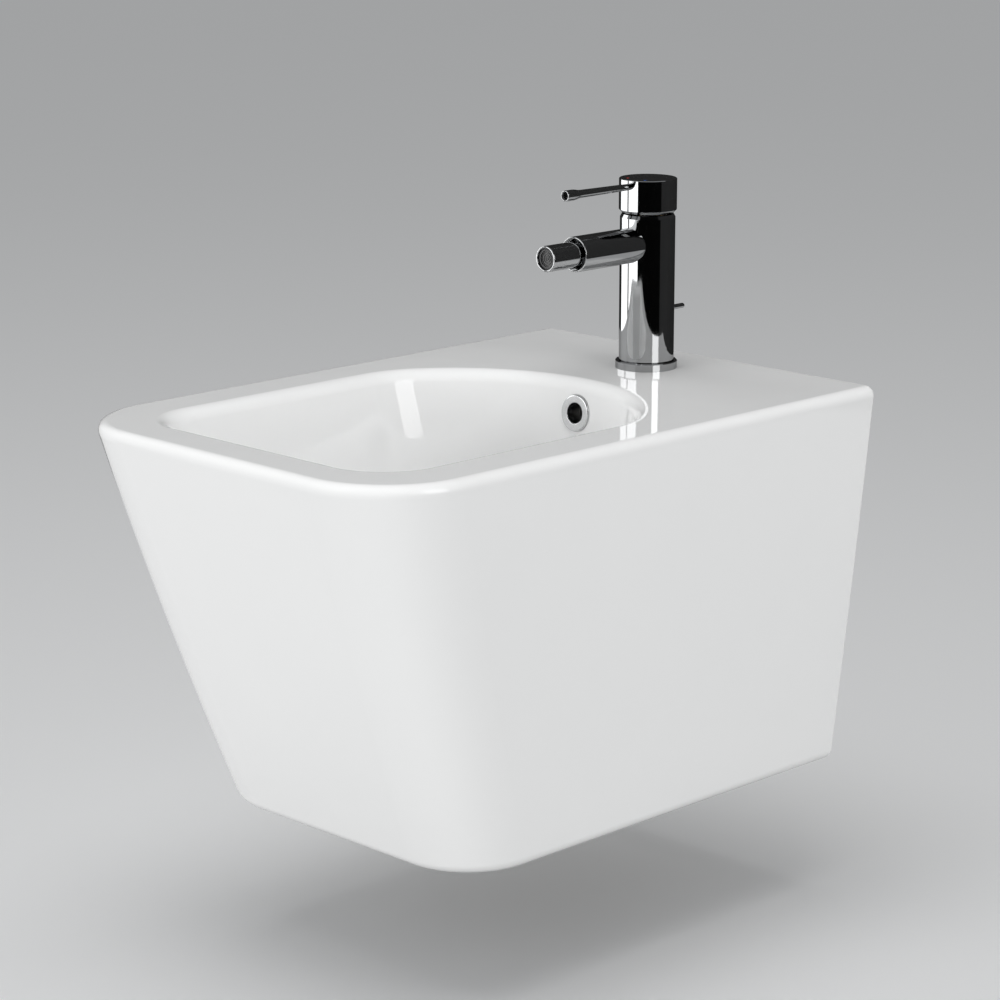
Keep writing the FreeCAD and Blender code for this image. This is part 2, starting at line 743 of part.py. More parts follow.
def moving_disc():
    disc = cylinder(MOVING_DISC_R, DISC_T, tap(MOVING_DISC_Z))
    return disc.cut(cylinder(MIX_POCKET_R, MIX_POCKET_DEPTH + PAST, tap(MOVING_DISC_Z - PAST)))


def disc_carrier():
    """Plastic slider on the moving disc, with the slot for the tip of the stem."""
    half = STEM_TIP_R + LOOSE
    slot = box(tap(CARRIER_Z - PAST, -half, -half), tap(CARRIER_Z + CARRIER_T + PAST, half, half))
    return cylinder(MOVING_DISC_R, CARRIER_T, tap(CARRIER_Z)).cut(slot)


def stem_slot():
    """Room in the turret for the stem and its tilt to the rear."""
    tilt = math.radians(MAX_TILT)
    half = STEM_WIDTH / 2 + LOOSE
    rise = CARTRIDGE_TOP + NECK_RISE - PIVOT_Z
    rear = rise * math.tan(tilt) + half / math.cos(tilt)
    front = STEM_BELOW_PIN * math.sin(tilt) + half
    low = tap(TURRET_Z - PAST, -front, -half)
    return box(low, tap(CARTRIDGE_TOP + NECK_RISE + PAST, rear, half))


def cartridge_turret():
    outline = [
        (0, TURRET_Z),
        (TURRET_R, TURRET_Z),
        (TURRET_R, LID_Z - LOOSE),
        (NECK_R, LID_Z - LOOSE),
        (NECK_R, CARTRIDGE_TOP + NECK_RISE),
        (0, CARTRIDGE_TOP + NECK_RISE),
    ]
    pin_hole = cylinder(PIN_R + THREAD, 2 * TURRET_R + 2 * PAST, tap(PIVOT_Z, 0, -TURRET_R - PAST), RIGHT)
    return turned(outline, tap(0)).cut([stem_slot(), pin_hole])


def stem_pin():
    half = TURRET_R - PAST
    return cylinder(PIN_R, 2 * half, tap(PIVOT_Z, 0, -half), RIGHT)


def cartridge_stem():
    """Square lever on the pin: its top is held by the handle and its tip moves the carrier."""
    half = STEM_WIDTH / 2
    bottom = PIVOT_Z - STEM_BELOW_PIN
    bar = box(tap(bottom, -half, -half), tap(STEM_TOP, half, half))
    rod = cylinder(STEM_TIP_ROD_R, bottom - STEM_TIP_Z, tap(STEM_TIP_Z))
    tip = Part.makeSphere(STEM_TIP_R, tap(STEM_TIP_Z))
    hole = cylinder(PIN_R + RUNNING, STEM_WIDTH + 2 * PAST, tap(PIVOT_Z, 0, -half - PAST), RIGHT)
    return bar.fuse([rod, tip]).cut(hole).removeSplitter()


def cartridge_nut():
    nut = ring(CHAMBER_R - THREAD, CARTRIDGE_NUT_BORE, CARTRIDGE_NUT_H, tap(CARTRIDGE_TOP))
    top = CARTRIDGE_TOP + CARTRIDGE_NUT_H
    half = NUT_NOTCH / 2
    across = box(tap(top - half, -half, -CARTRIDGE_R), tap(top + PAST, half, CARTRIDGE_R))
    along = box(tap(top - half, -CARTRIDGE_R, -half), tap(top + PAST, CARTRIDGE_R, half))
    return nut.cut([across, along])


# Handle


def handle_cap():
    inner = CAP_R - CAP_WALL
    under = TAP_HEIGHT - CAP_TOP
    outline = [
        (inner, CAP_Z),
        (CAP_R - CAP_CHAMFER, CAP_Z),
        (CAP_R, CAP_Z + CAP_CHAMFER),
        (CAP_R, TAP_HEIGHT - CAP_EDGE),
        (CAP_R - CAP_EDGE, TAP_HEIGHT),
        (0, TAP_HEIGHT),
        (0, under - HUB_LENGTH),
        (HUB_R, under - HUB_LENGTH),
        (HUB_R, under),
        (inner, under),
    ]
    half = STEM_WIDTH / 2 + THREAD
    cuts = [box(tap(under - HUB_LENGTH - PAST, -half, -half), tap(STEM_TOP + THREAD, half, half))]
    cuts.append(cylinder(LEVER_SPIGOT_R + THREAD, CAP_R + PAST, tap(LEVER_Z), FRONT))
    for side in (-1, 1):
        base = tap(TAP_HEIGHT - MARK_DEPTH, -MARK_FRONT, side * MARK_SIDE)
        cuts.append(cylinder(MARK_R + THREAD, MARK_DEPTH + PAST, base))
    return turned(outline, tap(0)).cut(cuts)


def lever_rod():
    """Pin lever with a flared grip: its threaded end goes through the cap and clamps the stem."""
    grip = LEVER_REACH - LEVER_GRIP
    neck = grip - LEVER_FLARE
    outline = [
        (0, STEM_WIDTH / 2),
        (LEVER_SPIGOT_R, STEM_WIDTH / 2),
        (LEVER_SPIGOT_R, CAP_R),
        (LEVER_ROOT_R, CAP_R),
        (LEVER_NECK_R, neck),
        (LEVER_TIP_R, grip),
        (LEVER_TIP_R, LEVER_REACH - LEVER_EDGE),
        (LEVER_TIP_R - LEVER_EDGE, LEVER_REACH),
        (LEVER_RECESS_R, LEVER_REACH),
        (LEVER_RECESS_R, LEVER_REACH - LEVER_RECESS_DEPTH),
        (0, LEVER_REACH - LEVER_RECESS_DEPTH),
    ]
    flare_ends = (tap(LEVER_Z, -neck).y, tap(LEVER_Z, -grip).y)
    lever = turned(outline, tap(LEVER_Z), FRONT)
    return rounded(lever, LEVER_FLARE_ROUND, lambda bounds: any(upright(bounds, y) for y in flare_ends))


def mark(side):
    return cylinder(MARK_R, MARK_DEPTH, tap(TAP_HEIGHT - MARK_DEPTH, -MARK_FRONT, side * MARK_SIDE))


def hot_mark():
    return mark(-1)


def cold_mark():
    return mark(1)


# Spout and nozzle


BALL_AT = SPOUT_REACH - BALL_INSET
SEAT_FRONT = BALL_AT - SEAT_GAP
SEAT_BACK = SEAT_FRONT - SEAT_LENGTH
POCKET_BACK = NOZZLE_REACH - AERATOR_POCKET
SOCKET_R = BALL_R + LAPPED


def along_spout(distance):
    return tap(SPOUT_Z, -distance)


def spout():
    outline = [
        (SPOUT_BORE_R, 0),
        (SPOUT_R, 0),
        (SPOUT_R, SPOUT_REACH - SPOUT_EDGE),
        (SPOUT_R - SPOUT_EDGE, SPOUT_REACH),
        (SPOUT_MOUTH_R + SPOUT_EDGE / 2, SPOUT_REACH),
        (SPOUT_MOUTH_R, SPOUT_REACH - SPOUT_EDGE),
        (SPOUT_MOUTH_R, SEAT_BACK - LOOSE),
        (SPOUT_BORE_R, SEAT_BACK - LOOSE),
    ]
    body = cylinder(TAP_BODY_R, TAP_TOP, tap(0))
    return turned(outline, along_spout(0), FRONT).cut(body)


def nozzle_seat():
    """Ring behind the ball that turns in the spout."""
    seat = cylinder(SPOUT_MOUTH_R - RUNNING, SEAT_LENGTH, along_spout(SEAT_BACK), FRONT)
    bore = cylinder(NOZZLE_BORE_R, SEAT_LENGTH + 2 * PAST, along_spout(SEAT_BACK - PAST), FRONT)
    socket = Part.makeSphere(SOCKET_R, along_spout(BALL_AT))
    groove_at = along_spout(SEAT_BACK + NOZZLE_SEAL_LENGTH)
    inner = SPOUT_MOUTH_R - RUNNING - NOZZLE_SEAL_DEPTH
    groove = ring(SPOUT_MOUTH_R, inner, NOZZLE_SEAL_LENGTH, groove_at, FRONT)
    return seat.cut([bore, socket, groove])


def nozzle_seal():
    outer = SPOUT_MOUTH_R - LAPPED
    inner = SPOUT_MOUTH_R - RUNNING - NOZZLE_SEAL_DEPTH + THREAD
    base = along_spout(SEAT_BACK + NOZZLE_SEAL_LENGTH + THREAD)
    return ring(outer, inner, NOZZLE_SEAL_LENGTH - 2 * THREAD, base, FRONT)


def nozzle_collar():
    """Threaded ring in the spout's mouth that holds the ball and leaves room for its tilt."""
    tilt = math.radians(NOZZLE_TILT)
    length = COLLAR_BACK + COLLAR_FRONT
    base = along_spout(BALL_AT - COLLAR_BACK)
    collar = cylinder(SPOUT_MOUTH_R - THREAD, length, base, FRONT)
    waist = NOZZLE_R / math.cos(tilt) + LOOSE
    grow = (COLLAR_FRONT + PAST) * math.tan(tilt)
    mouth = Part.makeCone(waist, waist + grow, COLLAR_FRONT + PAST, along_spout(BALL_AT), FRONT)
    back = cylinder(waist, COLLAR_BACK + PAST, along_spout(BALL_AT - COLLAR_BACK - PAST), FRONT)
    return collar.cut([Part.makeSphere(SOCKET_R, along_spout(BALL_AT)), mouth, back])


def nozzle():
    """Ball with the outlet tube on it, bored through and pocketed for the aerator."""
    ball = Part.makeSphere(BALL_R, along_spout(BALL_AT))
    tube_outline = [
        (0, 0),
        (NOZZLE_R, 0),
        (NOZZLE_R, NOZZLE_REACH - BALL_AT - NOZZLE_EDGE / 2),
        (NOZZLE_R - NOZZLE_EDGE / 2, NOZZLE_REACH - BALL_AT),
        (0, NOZZLE_REACH - BALL_AT),
    ]
    tube = turned(tube_outline, along_spout(BALL_AT), FRONT)
    behind = cylinder(2 * BALL_R, BALL_R, along_spout(BALL_AT - BALL_REAR - BALL_R), FRONT)
    bore = cylinder(NOZZLE_BORE_R, NOZZLE_REACH, along_spout(BALL_AT - BALL_R), FRONT)
    pocket = cylinder(AERATOR_R + THREAD, AERATOR_POCKET + PAST, along_spout(POCKET_BACK), FRONT)
    edge_back = along_spout(NOZZLE_REACH - NOZZLE_EDGE)
    edge = Part.makeCone(AERATOR_R + THREAD, AERATOR_R + NOZZLE_EDGE, NOZZLE_EDGE, edge_back, FRONT)
    return ball.fuse(tube).cut([behind, bore, pocket, edge])


AERATOR_BACK = POCKET_BACK + AERATOR_GASKET_T
AERATOR_FRONT = NOZZLE_REACH - AERATOR_RECESS
SCREEN_AT = AERATOR_FRONT - AERATOR_LIP - SCREEN_T


def aerator_gasket():
    return ring(AERATOR_R, NOZZLE_BORE_R, AERATOR_GASKET_T, along_spout(POCKET_BACK), FRONT)


def aerator_housing():
    length = AERATOR_FRONT - AERATOR_BACK
    housing = ring(AERATOR_R, AERATOR_BORE_R, length, along_spout(AERATOR_BACK), FRONT)
    return housing.cut(screen_pocket())


def screen_pocket():
    """Groove inside the aerator that holds the edge of the screen."""
    return cylinder(AERATOR_BORE_R + AERATOR_LIP, SCREEN_T, along_spout(SCREEN_AT), FRONT)


def aerator_screen():
    """Disc with ring-shaped grooves and a hub at its centre."""
    radius = AERATOR_BORE_R + AERATOR_LIP - THREAD
    screen = cylinder(radius, SCREEN_T, along_spout(SCREEN_AT), FRONT)
    grooves = []
    inner = SCREEN_RING_GAP
    while inner + SCREEN_RING_GAP < AERATOR_BORE_R:
        base = along_spout(SCREEN_AT + SCREEN_T - SCREEN_RING_DEPTH)
        grooves.append(ring(inner + SCREEN_RING_GAP, inner, SCREEN_T, base, FRONT))
        inner += 2 * SCREEN_RING_GAP
    return screen.cut(grooves)


# Pop-up waste


FLANGE_TOP = SEAT_Z + WASTE_SEAL_T + FLANGE_T
GASKET_Z = BOSS_Z - WASTE_GASKET_T
WASTE_NUT_Z = GASKET_Z - WASTE_NUT_H
TUBE_Z = WASTE_NUT_Z - WASTE_TUBE_BELOW_NUT
BODY_CONE_Z = TUBE_Z - WASTE_BODY_BELOW_TUBE
TAIL_TOP = BODY_CONE_Z - WASTE_BODY_CONE
TAIL_Z = TAIL_TOP - TAIL_LENGTH
BALL_Z = TUBE_Z - PIVOT_BELOW_TUBE
BALL_Y = WASTE_Y + PIVOT_ARM
LIFT_ARM = -TAP_FROM_WALL + LIFT_Y - BALL_Y
SWING = LIFT_TRAVEL / LIFT_ARM
PLUG_TRAVEL = PIVOT_ARM * SWING
PLUG_TOP = FLANGE_TOP - PLUG_SINK + PLUG_T + PLUG_TRAVEL
EYE_Z = BALL_Z + PLUG_TRAVEL / 2
COUPLING_Z = BALL_Z - LIFT_TRAVEL / 2
COUPLING_Y = LIFT_Y - TAP_FROM_WALL


def waste(z, y=0.0, x=0.0):
    return V(x, WASTE_Y + y, z)


def waste_flange():
    under = SEAT_Z + WASTE_SEAL_T
    outline = [
        (FUNNEL_R, FLANGE_TOP),
        (FLANGE_R - FLANGE_T / 2, FLANGE_TOP),
        (FLANGE_R, FLANGE_TOP - FLANGE_T / 2),
        (FLANGE_R, under),
        (FUNNEL_R, under),
        (WASTE_TUBE_R, under - FUNNEL_DEPTH),
        (WASTE_TUBE_R, TUBE_Z),
        (WASTE_BORE_R, TUBE_Z),
        (WASTE_BORE_R, FLANGE_TOP - FUNNEL_DEPTH),
    ]
    low = BOSS_Z + DUCT_WALL
    half = DUCT_DEPTH / 2
    windows = [
        box(waste(low, -WASTE_HOLE_R, -half), waste(low + DUCT_DEPTH, WASTE_HOLE_R, half)),
        box(waste(low, -half, -WASTE_HOLE_R), waste(low + DUCT_DEPTH, half, WASTE_HOLE_R)),
    ]
    return turned(outline, waste(0)).cut(windows)


def waste_seal():
    return ring(WASTE_SEAL_R, FUNNEL_R + LOOSE, WASTE_SEAL_T, waste(SEAT_Z))


def waste_gasket():
    return ring(WASTE_GASKET_R, WASTE_TUBE_R + THREAD, WASTE_GASKET_T, waste(GASKET_Z))


def waste_nut():
    nut = hexagon(WASTE_NUT_FLATS, WASTE_NUT_H, waste(WASTE_NUT_Z))
    return nut.cut(cylinder(WASTE_TUBE_R + THREAD, WASTE_NUT_H + 2 * PAST, waste(WASTE_NUT_Z - PAST)))


def waste_body():
    """Lower half of the waste: screwed on the tube, with the port of the pivot rod and the tail."""
    tail_bore = TAIL_R - TAIL_WALL
    outline = [
        (WASTE_TUBE_R + THREAD, WASTE_NUT_Z - PAST),
        (WASTE_BODY_R, WASTE_NUT_Z - PAST),
        (WASTE_BODY_R, BODY_CONE_Z),
        (TAIL_R, TAIL_TOP),
        (TAIL_R, TAIL_Z),
        (tail_bore, TAIL_Z),
        (tail_bore, TAIL_TOP),
        (WASTE_BORE_R, BODY_CONE_Z),
        (WASTE_BORE_R, TUBE_Z),
        (WASTE_TUBE_R + THREAD, TUBE_Z),
    ]
    inside = cylinder(WASTE_BORE_R, TUBE_Z - BODY_CONE_Z, waste(BODY_CONE_Z))
    port = cylinder(PORT_TUBE_R, PIVOT_ARM + PORT_TUBE_PAST_BALL, waste(BALL_Z), REAR).cut(inside)
    way = cylinder(PORT_HOLE_R, PIVOT_ARM, waste(BALL_Z), REAR)
    seat_back = PIVOT_ARM - PIVOT_SEAT_T
    socket_length = PORT_TUBE_PAST_BALL + PIVOT_SEAT_T + PAST
    socket = cylinder(PIVOT_BALL_R + RUNNING, socket_length, waste(BALL_Z, seat_back), REAR)
    return turned(outline, waste(0)).fuse(port).cut([way, socket]).removeSplitter()


def pivot_seats():
    """Plastic cups on both sides of the pivot rod's ball."""
    ball = Part.makeSphere(PIVOT_BALL_R + LAPPED, waste(BALL_Z, PIVOT_ARM))
    inner_at = waste(BALL_Z, PIVOT_ARM - PIVOT_SEAT_T)
    outer_at = waste(BALL_Z, PIVOT_ARM + PAST)
    inner = ring(PIVOT_BALL_R, PORT_HOLE_R, PIVOT_SEAT_T - PAST, inner_at, REAR)
    outer = ring(PIVOT_BALL_R, PORT_HOLE_R, PORT_TUBE_PAST_BALL - PAST, outer_at, REAR)
    return Part.makeCompound([inner.cut(ball), outer.cut(ball)])


def pivot_nut():
    end = PIVOT_ARM + PORT_TUBE_PAST_BALL
    base = waste(BALL_Z, end - PIVOT_NUT_LAP)
    nut = cylinder(PIVOT_NUT_R, PIVOT_NUT_LAP + PIVOT_NUT_END, base, REAR)
    thread = cylinder(PORT_TUBE_R + THREAD, PIVOT_NUT_LAP, base, REAR)
    hole = cylinder(PORT_HOLE_R, PIVOT_NUT_LAP + PIVOT_NUT_END + PAST, base, REAR)
    return nut.cut([thread, hole])


def pivot_rod():
    """Rod through the ball, from the eye of the plug to the coupling, at rest with its outer end low."""
    start = BALL_Y - PIVOT_ARM - PIVOT_ROD_INNER
    length = PIVOT_ROD_INNER + PIVOT_ARM + LIFT_ARM + PIVOT_ROD_OUTER
    centre = V(0, BALL_Y, BALL_Z)
    rod = cylinder(PIVOT_ROD_R, length, V(0, start, BALL_Z), REAR)
    rod = rod.fuse(Part.makeSphere(PIVOT_BALL_R, centre))
    rod.rotate(centre, RIGHT, -math.degrees(SWING / 2))
    return rod


def waste_plug():
    """Stopper with a crowned cap, guide fins and the eye that the pivot rod lifts."""
    under = PLUG_TOP - PLUG_T
    outline = [
        (0, under),
        (PLUG_R, under),
        (PLUG_R, PLUG_TOP - PLUG_CROWN),
        (PLUG_R - PLUG_CROWN, PLUG_TOP),
        (0, PLUG_TOP + PLUG_CROWN),
    ]
    neck = under - PLUG_SEAL_T
    stem = cylinder(PLUG_STEM_R, under - EYE_Z - EYE_BORE_R, waste(EYE_Z + EYE_BORE_R))
    eye = cylinder(EYE_R, EYE_T, waste(EYE_Z, -EYE_T / 2), REAR)
    reach = WASTE_BORE_R - LOOSE
    half = PLUG_FIN_T / 2
    fin_low = neck - FUNNEL_DEPTH - PLUG_TRAVEL - PLUG_FIN_LENGTH
    fins = [
        box(waste(fin_low, -half, -reach), waste(fin_low + PLUG_FIN_LENGTH, half, reach)),
        box(waste(fin_low, -reach, -half), waste(fin_low + PLUG_FIN_LENGTH, reach, half)),
    ]
    guide = cylinder(reach, PLUG_FIN_LENGTH, waste(fin_low))
    fins = [fin.common(guide) for fin in fins]
    hub = cylinder(PLUG_SEAL_R / 2, PLUG_SEAL_T, waste(neck))
    body = turned(outline, waste(0)).fuse([stem, eye, hub] + fins)
    hole = cylinder(EYE_BORE_R, EYE_T + 2 * PAST, waste(EYE_Z, -EYE_T / 2 - PAST), REAR)
    return body.cut(hole).removeSplitter()


def plug_seal():
    base = waste(PLUG_TOP - PLUG_T - PLUG_SEAL_T)
    return ring(PLUG_SEAL_R, PLUG_SEAL_R / 2 + THREAD, PLUG_SEAL_T, base)


# Linkage between the knob and the waste


def lift_rod():
    low = COUPLING_Z + COUPLING_ABOVE - COUPLING_GRIP
    top = RIM_Z + KNOB_Z + LIFT_ROD_ABOVE_KNOB
    rod = cylinder(LIFT_ROD_R, top - low, V(0, COUPLING_Y, low))
    return rod.cut(cylinder(KNOB_SPIGOT_R + THREAD, LIFT_ROD_R + PAST, tap(KNOB_Z, LIFT_Y), REAR))


def lift_knob():
    """Pin with a rounded end, screwed into the lift rod through the slot."""
    outline = [
        (0, LIFT_Y + THREAD),
        (KNOB_SPIGOT_R, LIFT_Y + THREAD),
        (KNOB_SPIGOT_R, LIFT_Y + LIFT_ROD_R),
        (KNOB_R, LIFT_Y + LIFT_ROD_R),
        (KNOB_R, KNOB_REACH - KNOB_R),
        (0, KNOB_REACH - KNOB_R),
    ]
    pin = turned(outline, tap(KNOB_Z), REAR)
    return pin.fuse(Part.makeSphere(KNOB_R, tap(KNOB_Z, KNOB_REACH - KNOB_R))).removeSplitter()


def rod_coupling():
    """Block clamped on the lift rod, with the eye in which the pivot rod slides and tilts."""
    half_x = COUPLING_WIDTH / 2
    half_y = COUPLING_THICK / 2
    low = V(-half_x, COUPLING_Y - half_y, COUPLING_Z - COUPLING_BELOW)
    high = V(half_x, COUPLING_Y + half_y, COUPLING_Z + COUPLING_ABOVE)
    grip = COUPLING_Z + COUPLING_ABOVE - COUPLING_GRIP
    bore = cylinder(LIFT_ROD_R + THREAD, COUPLING_GRIP + PAST, V(0, COUPLING_Y, grip))
    eye_start = V(0, COUPLING_Y - half_y - PAST, COUPLING_Z)
    eye = cylinder(COUPLING_BORE_R, COUPLING_THICK + 2 * PAST, eye_start, REAR)
    screw_z = grip + COUPLING_GRIP / 2
    screw_hole = cylinder(SCREW_R + THREAD, half_x + PAST, V(0, COUPLING_Y, screw_z), RIGHT)
    return box(low, high).cut([bore, eye, screw_hole])


def coupling_screw():
    screw_z = COUPLING_Z + COUPLING_ABOVE - COUPLING_GRIP / 2
    outline = [
        (0, LIFT_ROD_R),
        (SCREW_R, LIFT_ROD_R),
        (SCREW_R, COUPLING_WIDTH / 2),
        (SCREW_HEAD_R, COUPLING_WIDTH / 2),
        (SCREW_HEAD_R, COUPLING_WIDTH / 2 + SCREW_HEAD_T),
        (0, COUPLING_WIDTH / 2 + SCREW_HEAD_T),
    ]
    return turned(outline, V(0, COUPLING_Y, screw_z), RIGHT)


NODES = (
    ceramic_deck,
    ceramic_bowl_front,
    ceramic_bowl_left,
    ceramic_bowl_right,
    ceramic_bowl_rear,
    ceramic_basin,
    ceramic_skirt,
    ceramic_foot,
    overflow_ring,
    fixing_bushes,
    base_ring,
    base_seal,
    tap_body,
    mounting_stud,
    horseshoe_gasket,
    horseshoe_plate,
    mounting_nut,
    cartridge_housing,
    inlet_seals,
    cartridge_o_ring,
    fixed_disc,
    moving_disc,
    disc_carrier,
    cartridge_turret,
    stem_pin,
    cartridge_stem,
    cartridge_nut,
    handle_cap,
    lever_rod,
    hot_mark,
    cold_mark,
    spout,
    nozzle_seat,
    nozzle_seal,
    nozzle_collar,
    nozzle,
    aerator_gasket,
    aerator_housing,
    aerator_screen,
    waste_flange,
    waste_seal,
    waste_gasket,
    waste_nut,
    waste_body,
    pivot_seats,
    pivot_nut,
    pivot_rod,
    waste_plug,
    plug_seal,
    lift_rod,
    lift_knob,
    rod_coupling,
    coupling_screw,
)

os.makedirs("parts", exist_ok=True)
for node in NODES:
    shape = node()
    shape.exportStep(f"parts/{node.__name__}.step")
    volume = shape.Volume / 1000
    print(f"{node.__name__}: {len(shape.Solids)} solid, valid {shape.isValid()}, {volume:.2f} cm3")
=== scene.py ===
"""Wall-hung bidet with its mixer and pop-up waste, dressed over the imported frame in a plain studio."""

import math

import bmesh
import bpy
from mathutils import Matrix, Vector


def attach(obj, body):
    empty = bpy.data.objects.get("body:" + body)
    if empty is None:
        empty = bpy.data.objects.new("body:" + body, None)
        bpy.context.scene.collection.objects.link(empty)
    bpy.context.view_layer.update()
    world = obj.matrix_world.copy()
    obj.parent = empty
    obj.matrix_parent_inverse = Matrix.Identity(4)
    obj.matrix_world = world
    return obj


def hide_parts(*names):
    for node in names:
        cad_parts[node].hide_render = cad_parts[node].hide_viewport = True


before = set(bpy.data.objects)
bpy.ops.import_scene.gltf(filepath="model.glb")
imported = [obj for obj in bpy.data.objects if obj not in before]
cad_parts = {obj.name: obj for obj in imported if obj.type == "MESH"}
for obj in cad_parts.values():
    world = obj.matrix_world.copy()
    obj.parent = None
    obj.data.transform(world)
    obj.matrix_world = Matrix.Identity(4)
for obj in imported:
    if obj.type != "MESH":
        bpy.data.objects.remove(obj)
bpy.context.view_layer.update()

# China body: vitreous china, slip-cast in one piece with its bowl, overflow duct and fixing lugs, then
# glazed white and fired. The skin, the hollow behind it and the holes are drawn as rings round one plan
# and cut out of one another, as the mould's parts do.
mm = 0.001
quarter = math.pi / 2
rim_z = 100 * mm
skin_height = 314 * mm
foot_z = rim_z - skin_height
half_width = 180 * mm
projection = 525 * mm
side_taper = 34.5 * mm
side_bow = 0.076
front_taper = 113 * mm
front_bow = 0.129
rim_corner = 77 * mm
foot_corner = 61 * mm


def begin(bm, x, y, z=0.0):
    """Starts an outline at a point."""
    return bmesh.ops.create_vert(bm, co=(x, y, z))["vert"][0]


def straight(bm, end, x, y):
    """Carries an outline on in a straight line."""
    point = bmesh.ops.extrude_vert_indiv(bm, verts=[end])["verts"][0]
    point.co = (x, y, end.co.z)
    return point


def bend(bm, end, centre, turn, steps):
    """Carries an outline on round an arc."""
    place = (*centre, end.co.z)
    arc = bmesh.ops.spin(bm, geom=[end], cent=place, axis=(0, 0, 1), angle=turn, steps=steps)
    return next(part for part in arc["geom_last"] if isinstance(part, bmesh.types.BMVert))


def drawn_in(down, taper, bow):
    """How far a bowed side has come in at a share of the way down to the foot."""
    return taper * ((1 - bow) * down + bow * down**2)


def draw_skin(bm, z, inset=0.0, back=0.0):
    """Right half of the skin's plan at a height, from mid-front round to mid-back."""
    down = (rim_z - z) / skin_height
    half = half_width - drawn_in(down, side_taper, side_bow) - inset
    front = drawn_in(down, front_taper, front_bow) + inset - projection
    corner = rim_corner + (foot_corner - rim_corner) * down - inset
    start = begin(bm, 0, front, z)
    end = straight(bm, start, half - corner, front)
    end = bend(bm, end, (half - corner, front + corner), quarter, steps=24)
    end = straight(bm, end, half, back)
    return start, straight(bm, end, 0, back)


bowl_half = 130 * mm
bowl_from_wall = 147 * mm
front_rim = 47 * mm
bowl_depth = 130 * mm
floor_z = rim_z - bowl_depth
bowl_side_draw = 34 * mm
bowl_front_draw = 38 * mm
bowl_rear_draw = 15 * mm
bowl_front_corner = 42 * mm
bowl_floor_corner = 56 * mm
bowl_rear_corner = 70 * mm
bowl_rear_turn = math.radians(33.6)


def draw_bowl(bm, z, grow=0.0):
    """Right half of the bowl's plan at a height, from mid-front round to mid-rear."""
    down = (rim_z - z) / bowl_depth
    half = bowl_half - bowl_side_draw * down + grow
    front = front_rim + bowl_front_draw * down - grow - projection
    corner = bowl_front_corner + (bowl_floor_corner - bowl_front_corner) * down + grow
    rear_corner = bowl_rear_corner + grow
    across = half - rear_corner
    arch = rear_corner + across / math.cos(bowl_rear_turn)
    arch_y = grow - bowl_from_wall - bowl_rear_draw * down - arch
    corner_y = arch_y + across * math.tan(bowl_rear_turn)
    start = begin(bm, 0, front, z)
    end = straight(bm, start, half - corner, front)
    end = bend(bm, end, (half - corner, front + corner), quarter, steps=20)
    end = straight(bm, end, half, corner_y)
    end = bend(bm, end, (across, corner_y), bowl_rear_turn, steps=12)
    return start, bend(bm, end, (0, arch_y), quarter - bowl_rear_turn, steps=20)


same_point = 0.001 * mm
same_level = 0.01 * mm


def mirror_across(bm):
    """Adds the left half of what is drawn."""
    everything = bm.verts[:] + bm.edges[:] + bm.faces[:]
    bmesh.ops.mirror(bm, geom=everything, matrix=Matrix.Identity(4), merge_dist=same_point, axis="X")


def ring_at(bm, z):
    """Edges that lie at a height."""
    return [edge for edge in bm.edges if all(abs(vert.co.z - z) < same_level for vert in edge.verts)]


def stack(bm, levels):
    """Walls between rings at the given levels."""
    for upper, lower in zip(levels, levels[1:]):
        bmesh.ops.bridge_loops(bm, edges=ring_at(bm, upper) + ring_at(bm, lower))


def soften(bm, edges, width, segments, by="WIDTH"):
    """Rounds edges: by the width of the rounding or, with OFFSET, by how far back it starts."""
    bmesh.ops.bevel(
        bm,
        geom=edges,
        offset=width,
        offset_type=by,
        affect="EDGES",
        segments=segments,
        profile=0.5,
        material=-1,
    )


def as_object(bm, name):
    """Closes a drawn shape and puts it in the scene."""
    bmesh.ops.remove_doubles(bm, verts=bm.verts, dist=same_point)
    bmesh.ops.recalc_face_normals(bm, faces=bm.faces)
    mesh = bpy.data.meshes.new(name)
    bm.to_mesh(mesh)
    bm.free()
    piece = bpy.data.objects.new(name, mesh)
    bpy.context.scene.collection.objects.link(piece)
    return piece


skin_steps = 8
mouth_round = 14.8 * mm
floor_round = 44.5 * mm
rim_round = 12.3 * mm
foot_round = 14.5 * mm
wall_round = 3 * mm
wall_fold = math.radians(60)


